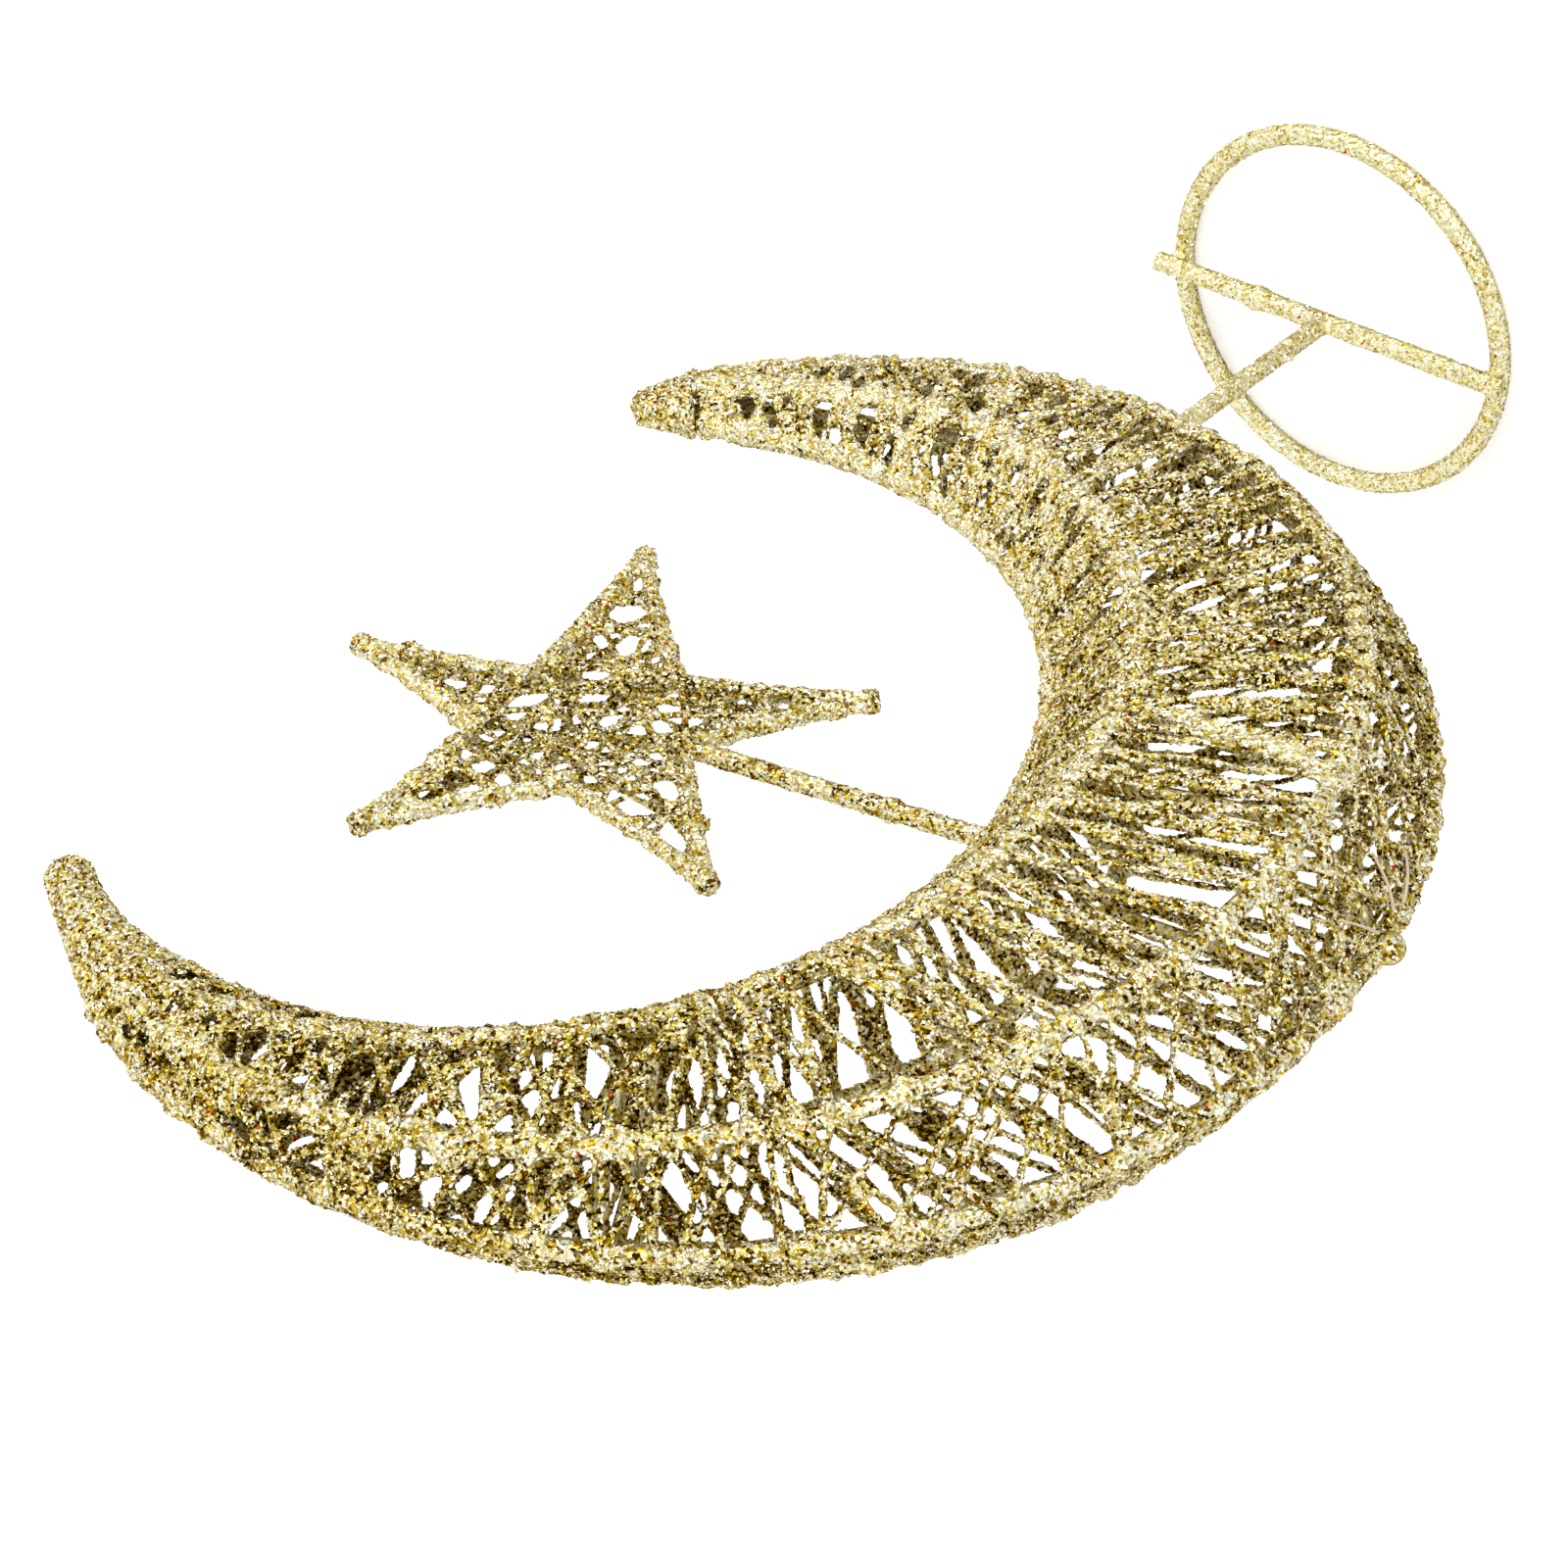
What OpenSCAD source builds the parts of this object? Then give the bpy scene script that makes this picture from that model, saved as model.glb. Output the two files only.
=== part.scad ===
// Crescent and star table ornament: a wire cage wound with glitter thread, on a ring foot.
// Lengths are in millimetres and angles in degrees. The foot stands on Z = 0 and the
// crescent's mid plane is the XZ plane, with the belly at the left and the horns at the right.

/* [Crescent] */
// Radius of the outer rim's centreline
rim_r = 110; // [95:1:130]
// Radius of the inner rim's centreline
bay_r = 82.5; // [76:0.5:86]
// Distance between the centres of the outer and the inner rim
bay_shift = 35; // [30:0.5:38]
// Depth of the inner ridges at the belly, from the mid plane
inner_ridge_depth = 16; // [12:0.5:20]
// Depth of the outer ridges at the belly, from the mid plane
outer_ridge_depth = 18.5; // [14:0.5:24]
// Turn of the crescent that lifts its opening
lean = 15; // [5:1:25]
// Width of the crescent where the bound ends of the horns begin
gather_w = 13.8; // [12:0.1:16]

/* [Wires] */
// Diameter of the rims and ridges with their glitter coat
cage_wire_d = 3.2; // [2.4:0.1:4]
// Diameter of the ribs inside the cage
rib_wire_d = 2.6; // [2:0.1:3.2]
// Diameter of the foot's ring and crossbar
foot_wire_d = 4.2; // [3.4:0.1:6]
// Diameter of the stem
stem_d = 4; // [3.4:0.1:5]
// Diameter of the star's outline wire
star_wire_d = 3.6; // [2.8:0.1:4.4]
// Diameter of the spoke that holds the star
spoke_d = 3.6; // [3:0.1:4.6]

/* [Foot] */
// Radius of the foot ring's centreline
foot_r = 36; // [34:0.5:48]
// Height of the crescent's centre above the table
centre_z = 167; // [155:1:185]
// Reach of the crossbar past the ring's outer side
bar_overhang = 1.2; // [0.5:0.1:3]

/* [Star] */
// Radius from the star's middle to its points
star_r = 47; // [40:0.5:52]
// Radius from the star's middle to its notches
notch_r = 19.7; // [17:0.1:22]
// Distance of the star's middle from the rim's centre, toward the opening
star_shift = 28; // [24:0.5:32]
// Distance of the star's middle above the crescent's axis
star_lift = 1.5; // [-2:0.5:3]
// Distance of the star's middle behind the mid plane
star_set_back = 1.6; // [0:0.1:3]
// Lean of the star's plane about the crescent's axis
star_tip_lean = 4.4; // [0:0.1:6]
// Swing of the star's plane about the upright through its middle
star_swing = 3.5; // [0:0.1:5]

/* [Thread] */
// Diameter of the glitter thread
thread_d = 1.4; // [1:0.1:1.6]
// Radius of the wound knob at the upper horn's end
upper_knob_r = 3.9; // [3:0.1:5]
// Radius of the wound knob at the lower horn's end
lower_knob_r = 3; // [2.4:0.1:4]

/* [Hidden] */

$fn = 48;

// Gap at which two pieces touch, the gap under a thread's end on the slanting inner rim, the
// gap between a thread and a piece that it passes, and the gap between two runs of thread
seat = 0.15;
thread_end_gap = 0.4;
pass_gap = 0.4;
run_gap = 2.9;

// Wire colours, as painted with glitter
gold = [0.80, 0.72, 0.45];
pale_gold = [0.88, 0.81, 0.56];
deep_gold = [0.66, 0.56, 0.30];

cage_wire_r = cage_wire_d / 2;
rib_wire_r = rib_wire_d / 2;
foot_wire_r = foot_wire_d / 2;
stem_r = stem_d / 2;
star_wire_r = star_wire_d / 2;
spoke_r = spoke_d / 2;
thread_r = thread_d / 2;

// The crescent's own frame has X toward the opening and Y across it, and angles run from X.
// This is the angle at which the crescent has a certain width.
function width_angle(w) =
    acos((pow(rim_r - w, 2) + bay_shift * bay_shift - bay_r * bay_r) / (2 * (rim_r - w) * bay_shift));

// The horns' bound ends begin at horn_start, where the cage's wires stop, and reach on to
// a share of that angle
horn_start = width_angle(gather_w);
upper_end_share = 0.667;
lower_end_share = 0.894;
upper_horn_end = upper_end_share * horn_start;
lower_horn_end = lower_end_share * horn_start;
belly = 180;
half_span = belly - horn_start;
stem_angle = 270 - lean;

// Shares of the crescent's width at which a ridge stands, at the belly and at the horns
inner_ridge_shares = [0.23, 0.46];
outer_ridge_shares = [0.81, 0.73];

// Ribs at shares of the way from a horn to the belly, the spoke, and the knob where the outer
// rim's wire is closed
rib_share = 0.415;
upper_rib_angle = horn_start + rib_share * half_span;
lower_rib_angle = -upper_rib_angle;
spoke_angle = 173.7;
rim_knob_angle = 177.6;
rim_knob_r = 2.6;

// Radius of the inner rim along a ray of the crescent's frame, and the width outside it
function bay_at(a) = bay_shift * cos(a) + sqrt(bay_r * bay_r - pow(bay_shift * sin(a), 2));
function width_at(a) = rim_r - bay_at(a);
function share_at(a, share) = bay_at(a) + share * width_at(a);

// The two rims cross at this distance from the rim's centre, and the ridges' planes meet there
hinge_x = (rim_r * rim_r - bay_r * bay_r + bay_shift * bay_shift) / (2 * bay_shift);

// A ridge is a circle in a plane that tilts about the hinge, as [tilt, centre, radius].
// It passes a share of the width at the belly and another at the horns.
function ridge(depth, shares) =
    let (x0 = -share_at(belly, shares[0]),
         r1 = share_at(horn_start, shares[1]),
         tilt = atan(depth / (hinge_x - x0)),
         u0 = hinge_x + (x0 - hinge_x) / cos(tilt),
         u1 = hinge_x + (r1 * cos(horn_start) - hinge_x) / cos(tilt),
         v1 = r1 * sin(horn_start),
         centre = (u1 * u1 + v1 * v1 - u0 * u0) / (2 * (u1 - u0)))
    [tilt, centre, centre - u0];

inner_ridge = ridge(inner_ridge_depth, inner_ridge_shares);
outer_ridge = ridge(outer_ridge_depth, outer_ridge_shares);

// Where a ridge crosses the section at an angle: [radius, depth]
function ridge_at(a, g) =
    let (k = cos(a) / cos(g[0]),
         m = g[1] - hinge_x * (1 - 1 / cos(g[0])),
         n = k * k + pow(sin(a), 2),
         r = (k * m + sqrt(k * k * m * m - n * (m * m - g[2] * g[2]))) / n)
    [r, (hinge_x - r * cos(a)) * tan(g[0])];

function back(p) = [p[0], -p[1]];

// The six wires of a section, from the inner rim over the front to the outer rim and back
function section(a) =
    let (i = ridge_at(a, inner_ridge), o = ridge_at(a, outer_ridge))
    [[bay_at(a), 0], i, o, [rim_r, 0], back(o), back(i)];

function unit(v) = v / norm(v);

// Outward normal of a section's side from p to q
function side_normal(p, q) = unit([p[1] - q[1], q[0] - p[0]]);
function before(s, i) = side_normal(s[(i + 5) % 6], s[i]);
function after(s, i) = side_normal(s[i], s[(i + 1) % 6]);

// A section point in the crescent's frame
function placed(a, p) = [p[0] * cos(a), p[0] * sin(a), p[1]];

// From the crescent's flat frame to its place above the foot
module crescent_place() {
    translate([0, 0, centre_z])
        rotate([0, -lean, 0])
            rotate([90, 0, 0])
                children();
}

module rod(p, q, r) {
    d = q - p;
    translate(p)
        rotate([0, acos(d[2] / norm(d)), atan2(d[1], d[0])])
            cylinder(h = norm(d), r = r);
}

// Faces between the rings of a tube, each a triangle; a closed tube joins its last ring to its first
function tube_walls(rings, sides, closed) = [
    for (i = [0 : rings - (closed ? 1 : 2)]) for (s = [0 : sides - 1])
        let (a = i * sides + s,
             b = i * sides + (s + 1) % sides,
             c = (i + 1) % rings * sides + s,
             d = (i + 1) % rings * sides + (s + 1) % sides)
        each [[a, b, c], [b, d, c]]];

// Thread along a path, turned by a reference direction at each ring
thread_sides = 4;
module thread(path, refs) {
    last = len(path) - 1;
    rings = [for (i = [0 : last])
        let (t = unit(path[min(i + 1, last)] - path[max(i - 1, 0)]),
             e = unit(cross(t, refs[i])),
             f = cross(e, t))
        for (s = [0 : thread_sides - 1])
            path[i] + thread_r * (cos(360 * s / thread_sides) * e + sin(360 * s / thread_sides) * f)];
    end = last * thread_sides;
    caps = [for (s = [1 : thread_sides - 2])
        each [[0, s + 1, s], [end, end + s, end + s + 1]]];
    polyhedron(points = rings, faces = concat(tube_walls(last + 1, thread_sides, false), caps),
               convexity = 10);
}

// Bent wire that closes on itself in a plane, mitred at its corners
wire_sides = 12;
module bent_wire(corners, normal, r) {
    n = len(corners);
    rings = [for (i = [0 : n - 1])
        let (u = unit(corners[i] - corners[(i + n - 1) % n]),
             v = unit(corners[(i + 1) % n] - corners[i]),
             out = unit(cross(u + v, normal)),
             reach = r / sqrt((1 + u * v) / 2))
        for (s = [0 : wire_sides - 1])
            corners[i] + reach * cos(360 * s / wire_sides) * out
                + r * sin(360 * s / wire_sides) * normal];
    polyhedron(points = rings, faces = tube_walls(n, wire_sides, true), convexity = 4);
}

// Least gap between a thread's loops, from each point to the next loop's segments
function from_segment(p, a, b) =
    let (d = b - a, t = max(0, min(1, (p - a) * d / (d * d))))
    norm(p - a - t * d);
function loop_gap(path, per_loop) =
    min([for (i = [0 : len(path) - per_loop - 3]) for (j = [i + per_loop - 2 : i + per_loop + 1])
        from_segment(path[i], path[j], path[j + 1])]) - thread_d;

// Winding round the cage. Each loop passes outside the six wires with two rings at each wire,
// and the winding steps along the crescent as it turns. Both ends rest square on the inner rim.
cage_reach = cage_wire_r + seat + thread_r;
per_cage_loop = 12;
function cage_point(a, k) =
    let (s = section(a),
         i = floor(k / 2),
         n = [before(s, i), after(s, i)],
         reach = cage_reach / sqrt((1 + n[0] * n[1]) / 2))
    placed(a, s[i] + reach * n[k % 2]);
function rim_foot(a, k) =
    let (s = section(a), n = [before(s, 0), after(s, 0)])
    placed(a, s[0] + (cage_wire_r + thread_end_gap) * n[k]);
function cage_angle(from, to, loops, step) = from + (to - from) * step / (loops * per_cage_loop);
function cage_path(from, to, loops) = concat(
    [rim_foot(from, 1)],
    [for (step = [0 : loops * per_cage_loop - 2])
        cage_point(cage_angle(from, to, loops, step), (step + 1) % per_cage_loop)],
    [cage_point(to, 0), rim_foot(to, 0)]);
function cage_refs(from, to, loops) = [for (step = [0 : loops * per_cage_loop + 1])
    let (a = cage_angle(from, to, loops, max(0, step - 1)))
    [-sin(a), cos(a), 0]];

module cage_winding(angles, loops) {
    crescent_place()
        thread(cage_path(angles[0], angles[1], loops), cage_refs(angles[0], angles[1], loops));
}

// Angle that a length takes up at a radius
function span_of(length, radius) = asin(length / radius);

// Runs of thread, as their angles and loops. The runs leave room for the spoke at the inner
// rim, and for the rim's knob and the stem at the outer rim.
upper_horn_loops = 17;
upper_arm_loops = 17;
belly_loops = 23;
lower_arm_loops = 13;
run_gap_angle = span_of(run_gap, rim_r);
upper_split_share = 0.451;
upper_split = horn_start + upper_split_share * half_span;
spoke_room = span_of(spoke_r + thread_r + pass_gap, bay_at(spoke_angle));
knob_room = span_of(rim_knob_r + thread_r + pass_gap, rim_r + cage_wire_r);
belly_end = stem_angle - run_gap_angle / 2;

// The first loop of the belly's run passes the outer rim half a loop after it starts
half_loop_share = 1 / (2 * belly_loops);
belly_start = max(spoke_angle + spoke_room,
    (rim_knob_angle + knob_room - belly_end * half_loop_share) / (1 - half_loop_share));

upper_horn_angles = [horn_start + run_gap_angle, upper_split];
upper_arm_angles = [upper_split + run_gap_angle, spoke_angle - spoke_room];
belly_angles = [belly_start, belly_end];
lower_arm_angles = [stem_angle + run_gap_angle / 2, 360 - horn_start - run_gap_angle];

// Wedge over the opening, where the bound horn ends take the place of the wires
module opening_wedge() {
    far = rim_r * 2;
    linear_extrude(height = far, center = true)
        polygon([[0, 0], far * [cos(horn_start), sin(horn_start)], [far, 0],
                 far * [cos(horn_start), -sin(horn_start)]]);
}

module hoop(centre, radius, wire_r) {
    translate([centre, 0, 0])
        rotate_extrude()
            translate([radius, 0])
                circle(wire_r);
}

module rim_hoop(extra = 0) {
    hoop(0, rim_r, cage_wire_r + extra);
}

module bay_hoop(extra = 0) {
    hoop(bay_shift, bay_r, cage_wire_r + extra);
}

module ridge_wire(g, side) {
    crescent_place()
        difference() {
            translate([hinge_x, 0, 0])
                rotate([0, side * g[0], 0])
                    translate([-hinge_x, 0, 0])
                        hoop(g[1], g[2], cage_wire_r);
            opening_wedge();
        }
}

// Foot
bar_z = 3 * foot_wire_r + seat;

module foot_ring() {
    color(pale_gold)
        translate([0, 0, foot_wire_r])
            hoop(0, foot_r, foot_wire_r);
}

module bar_rod(extra = 0) {
    reach = foot_r + foot_wire_r + bar_overhang;
    translate([0, 0, bar_z])
        rotate([0, 90, 0])
            cylinder(h = 2 * reach, r = foot_wire_r + extra, center = true);
}

module foot_crossbar() {
    color(pale_gold)
        bar_rod();
}

// The stem is coped over the crossbar and under the outer rim
module stem() {
    color(pale_gold)
        difference() {
            translate([0, 0, bar_z])
                cylinder(h = centre_z - rim_r - bar_z, r = stem_r);
            bar_rod(seat);
            crescent_place()
                rim_hoop(seat);
        }
}

// Cage of the crescent
module outer_rim() {
    color(gold)
        crescent_place()
            difference() {
                union() {
                    rim_hoop();
                    rotate([0, 0, rim_knob_angle])
                        translate([rim_r + cage_wire_r, 0, 0])
                            sphere(rim_knob_r);
                }
                opening_wedge();
            }
}

module inner_rim() {
    color(gold)
        crescent_place()
            difference() {
                bay_hoop();
                opening_wedge();
            }
}

module front_inner_ridge() {
    color(gold) ridge_wire(inner_ridge, 1);
}

module back_inner_ridge() {
    color(gold) ridge_wire(inner_ridge, -1);
}

module front_outer_ridge() {
    color(gold) ridge_wire(outer_ridge, 1);
}

module back_outer_ridge() {
    color(gold) ridge_wire(outer_ridge, -1);
}

// A rib is a bent hoop that lies inside the six wires of one section
module rib(a) {
    s = section(a);
    reach = cage_wire_r + seat + rib_wire_r;
    corners = [for (i = [0 : 5])
        let (m = before(s, i), n = after(s, i))
        placed(a, s[i] - reach * (m + n) / (1 + m * n))];
    color(deep_gold)
        crescent_place()
            bent_wire(corners, [-sin(a), cos(a), 0], rib_wire_r);
}

module upper_rib() {
    rib(upper_rib_angle);
}

module middle_rib() {
    rib(belly);
}

module lower_rib() {
    rib(lower_rib_angle);
}

// Bound horn end: the six wires gathered under close turns of thread, tapering to a knob
tip_sides = 16;
tip_rings = 6;
knob_shares = [1, 0.92, 0.6];
module horn_tip(side, end, knob_r) {
    skin = cage_wire_r + seat + thread_d;
    start = horn_start - asin(seat / rim_r);
    start_depth = ridge_at(start, outer_ridge)[1];
    rings = concat(
        [for (i = [0 : tip_rings])
            let (t = i / tip_rings, a = start + (end - start) * t, w = width_at(a))
            [a, (1 - t) * (w / 2 + skin) + t * knob_r, (1 - t) * (start_depth + skin) + t * knob_r,
             rim_r - w / 2]],
        [for (i = [1 : len(knob_shares) - 1])
            let (a = end - asin(knob_r * i / (2 * rim_r)))
            [a, knob_shares[i] * knob_r, knob_shares[i] * knob_r, rim_r - width_at(end) / 2]]);
    points = [for (g = rings) for (s = [0 : tip_sides - 1])
        let (c = cos(360 * s / tip_sides), d = sin(360 * s / tip_sides))
        placed(side * g[0], [g[3] + g[1] * c, side * g[2] * d])];
    last = len(rings) - 1;
    walls = [for (i = [0 : last - 1]) for (s = [0 : tip_sides - 1])
        let (p = i * tip_sides + s, q = i * tip_sides + (s + 1) % tip_sides)
        each [[p, p + tip_sides, q], [q, p + tip_sides, q + tip_sides]]];
    caps = [[for (s = [0 : tip_sides - 1]) s],
            [for (s = [tip_sides - 1 : -1 : 0]) last * tip_sides + s]];
    color(gold)
        crescent_place()
            polyhedron(points = points, faces = concat(walls, caps));
}

module upper_horn_tip() {
    horn_tip(1, upper_horn_end, upper_knob_r);
}

module lower_horn_tip() {
    horn_tip(-1, lower_horn_end, lower_knob_r);
}

module upper_horn_winding() {
    color(pale_gold) cage_winding(upper_horn_angles, upper_horn_loops);
}

module upper_arm_winding() {
    color(pale_gold) cage_winding(upper_arm_angles, upper_arm_loops);
}

module belly_winding() {
    color(pale_gold) cage_winding(belly_angles, belly_loops);
}

module lower_arm_winding() {
    color(pale_gold) cage_winding(lower_arm_angles, lower_arm_loops);
}

// Star: its flat frame has X toward the opening and Y across it, with a point on X
function star_point(i) = star_r * [cos(72 * i), sin(72 * i)];
function star_notch(i) = notch_r * [cos(72 * i + 36), sin(72 * i + 36)];

module star_place() {
    translate([0, 0, centre_z])
        rotate([0, -lean, 0])
            translate([star_shift, star_set_back, star_lift])
                rotate([star_tip_lean, 0, -star_swing])
                    rotate([90, 0, 0])
                        children();
}

function flat(p) = [p[0], p[1], 0];

// The outline wire turns in two bends at each point, so that the point is blunt
point_bend = 1.3;
function star_bend(i, side) = star_point(i) + side * point_bend * [-sin(72 * i), cos(72 * i)];
outline = [for (i = [0 : 4])
    each [flat(star_bend(i, -1)), flat(star_bend(i, 1)), flat(star_notch(i))]];

module star_frame() {
    color(gold)
        star_place()
            bent_wire(outline, [0, 0, 1], star_wire_r);
}

// The spoke runs from the star's rear notch to the inner rim, and is coped round both.
// Its ends are in the frame of the crescent before the lean, as star_place leaves them.
spoke_foot = bay_at(spoke_angle) * [cos(spoke_angle), 0, sin(spoke_angle)];
spoke_head = [star_shift - notch_r * cos(star_swing),
              star_set_back + notch_r * sin(star_swing),
              star_lift];

module star_spoke() {
    color(pale_gold)
        difference() {
            translate([0, 0, centre_z])
                rotate([0, -lean, 0])
                    rod(spoke_foot, spoke_head, spoke_r);
            crescent_place()
                bay_hoop(seat);
            star_place()
                for (end = [star_bend(2, 1), star_bend(3, -1)]) {
                    rod(flat(star_notch(2)), flat(end), star_wire_r + seat);
                    translate(flat(star_notch(2)))
                        sphere(star_wire_r + seat);
                }
        }
}

// Winding of the star. Upright strands pass in front and behind, from a lower edge to an
// upper edge, each edge a line of the outline, and turn round the wire in five rings.
turn_rings = 5;
per_star_loop = 2 * turn_rings;
star_reach = (star_wire_r + seat + thread_r) / cos(90 / (turn_rings - 1));
function edge_y(x, e) = e[0][1] + (x - e[0][0]) * (e[1][1] - e[0][1]) / (e[1][0] - e[0][0]);
function edge_lift(e) = star_reach * norm(e[1] - e[0]) / abs(e[1][0] - e[0][0]);
function turn(x, e, up, ring) =
    let (t = 180 * ring / (turn_rings - 1))
    [x, edge_y(x, e) + up * edge_lift(e) * sin(t), up * star_reach * cos(t)];

// edges(x) gives the lower and the upper edge at x
function star_path(from, to, loops, edges) = [for (step = [0 : loops * per_star_loop - 1])
    let (x = from + (to - from) * step / (loops * per_star_loop - 1),
         k = step % per_star_loop,
         pair = edges(x))
    k < turn_rings ? turn(x, pair[1], 1, k) : turn(x, pair[0], -1, k - turn_rings)];

function mirrored(e) = [for (p = e) [p[0], -p[1]]];
point_edge = [star_notch(0), star_bend(0, 1)];
upper_rear_edge = [star_bend(2, -1), star_notch(1)];
upper_front_edge = [star_notch(1), star_bend(1, 1)];
rear_notch_edge = [star_bend(2, 1), star_notch(2)];
body_edge = function (x) x < star_notch(1)[0] ? upper_rear_edge : upper_front_edge;
body_edges = function (x) [mirrored(body_edge(x)), body_edge(x)];
point_edges = function (x) [mirrored(point_edge), point_edge];
upper_edges = function (x) [rear_notch_edge, upper_rear_edge];
lower_edges = function (x) [mirrored(upper_rear_edge), mirrored(rear_notch_edge)];

// Runs across the star from one place to another on X, and their loops. The body's run begins
// by the rear notch, and the two rear runs stop where their turns pass the spoke.
body_start_share = 0.385;
body_end_share = 0.26;
body_run = [-star_r * body_start_share, star_r * body_end_share];
body_loops = 13;
point_start_share = 0.39;
point_end_share = 0.84;
point_run = [star_r * point_start_share, star_r * point_end_share];
point_loops = 5;
rear_slope = -rear_notch_edge[0][1] / (rear_notch_edge[0][0] - rear_notch_edge[1][0]);
spoke_pass = spoke_r + pass_gap + thread_r + edge_lift(rear_notch_edge);
rear_start_share = 0.72;
rear_run = [-star_r * rear_start_share, -notch_r - spoke_pass / rear_slope];
rear_pitch = 2.7;
rear_loops = floor((rear_run[1] - rear_run[0]) / rear_pitch);

module star_winding(run, loops, edges) {
    path = star_path(run[0], run[1], loops, edges);
    star_place()
        thread(path, [for (p = path) [1, 0, 0]]);
}

module star_body_winding() {
    color(pale_gold) star_winding(body_run, body_loops, body_edges);
}

module star_point_winding() {
    color(pale_gold) star_winding(point_run, point_loops, point_edges);
}

module star_upper_winding() {
    color(pale_gold) star_winding(rear_run, rear_loops, upper_edges);
}

module star_lower_winding() {
    color(pale_gold) star_winding(rear_run, rear_loops, lower_edges);
}

for (run = [[upper_horn_angles, upper_horn_loops], [upper_arm_angles, upper_arm_loops],
            [belly_angles, belly_loops], [lower_arm_angles, lower_arm_loops]])
    echo(angles = run[0], loops = run[1],
         least_gap = loop_gap(cage_path(run[0][0], run[0][1], run[1]), per_cage_loop));
for (run = [[body_run, body_loops, body_edges], [point_run, point_loops, point_edges],
            [rear_run, rear_loops, upper_edges], [rear_run, rear_loops, lower_edges]])
    echo(places = run[0], loops = run[1],
         least_gap = loop_gap(star_path(run[0][0], run[0][1], run[1], run[2]), per_star_loop));

foot_ring();
foot_crossbar();
stem();
outer_rim();
inner_rim();
front_inner_ridge();
back_inner_ridge();
front_outer_ridge();
back_outer_ridge();
upper_rib();
middle_rib();
lower_rib();
upper_horn_tip();
lower_horn_tip();
star_frame();
star_spoke();
upper_horn_winding();
upper_arm_winding();
belly_winding();
lower_arm_winding();
star_body_winding();
star_point_winding();
star_upper_winding();
star_lower_winding();
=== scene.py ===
"""Gold crescent and star table ornament: glitter thread wound over its packed wire cage."""

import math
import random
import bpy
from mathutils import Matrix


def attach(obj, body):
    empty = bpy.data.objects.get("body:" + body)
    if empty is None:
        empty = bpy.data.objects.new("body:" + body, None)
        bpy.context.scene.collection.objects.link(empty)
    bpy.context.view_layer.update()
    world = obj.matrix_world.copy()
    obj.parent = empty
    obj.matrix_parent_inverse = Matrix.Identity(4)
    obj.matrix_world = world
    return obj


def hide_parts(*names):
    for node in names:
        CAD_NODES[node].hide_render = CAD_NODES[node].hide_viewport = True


bl_info = {
    "name": "Crescent and Star Ornament",
    "version": (1, 0, 0),
    "blender": (4, 5, 0),
    "location": "View3D > Sidebar > Ornament",
    "description": "Winds glitter thread over the wire cage of a crescent and star ornament",
    "category": "Add Mesh",
}

import bmesh
import bpy
import numpy as np
from mathutils import Matrix, Vector, kdtree, noise

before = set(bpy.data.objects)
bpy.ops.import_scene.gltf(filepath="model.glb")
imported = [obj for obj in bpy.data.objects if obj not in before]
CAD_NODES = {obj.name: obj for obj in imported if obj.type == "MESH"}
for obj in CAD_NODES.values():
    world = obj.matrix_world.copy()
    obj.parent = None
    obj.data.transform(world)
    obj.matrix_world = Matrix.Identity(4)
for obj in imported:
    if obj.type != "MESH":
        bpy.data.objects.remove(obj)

MM = 0.001

# The cage, as in the part: radii and shift of the rims, width of the crescent where the horns'
# bound ends begin, depths and shares of the ridges, lean, centre, and radius of the wires
RIM_R = 110 * MM
BAY_R = 82.5 * MM
BAY_SHIFT = 35 * MM
GATHER_W = 13.8 * MM
INNER_RIDGE = (16 * MM, (0.23, 0.46))
OUTER_RIDGE = (18.5 * MM, (0.81, 0.73))
LEAN = math.radians(15)
CENTRE_Z = 167 * MM
CAGE_WIRE_R = 1.6 * MM
# Angles of the belly's middle and of the spoke's foot, and the horns' ends as shares of the
# angle at which their bound ends begin
BELLY = math.pi
SPOKE_ANGLE = math.radians(173.7)
UPPER_END_SHARE = 0.667
LOWER_END_SHARE = 0.894

# The star's place, lean and swing, as in the part
STAR_SHIFT = 28 * MM
STAR_LIFT = 1.5 * MM
STAR_BACK = 1.6 * MM
STAR_TIP_LEAN = math.radians(4.4)
STAR_SWING = math.radians(3.5)
# Half width of the hand-bent star's blunt points, how far the tight thread draws its edges in,
# and radius of its wire under the crust
PINCH = 0.7 * MM
EDGE_SAG = 0.8 * MM
STAR_WIRE_R = 1.45 * MM

# The foot, stem and spoke, as in the part
FOOT_R = 36 * MM
FOOT_WIRE_R = 2.1 * MM
STEM_R = 2 * MM
SPOKE_R = 1.8 * MM
BAR_REACH = FOOT_R + FOOT_WIRE_R + 1.2 * MM
BAR_Z = 3 * FOOT_WIRE_R + 0.15 * MM


# Sizes and colours that a user would change

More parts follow.
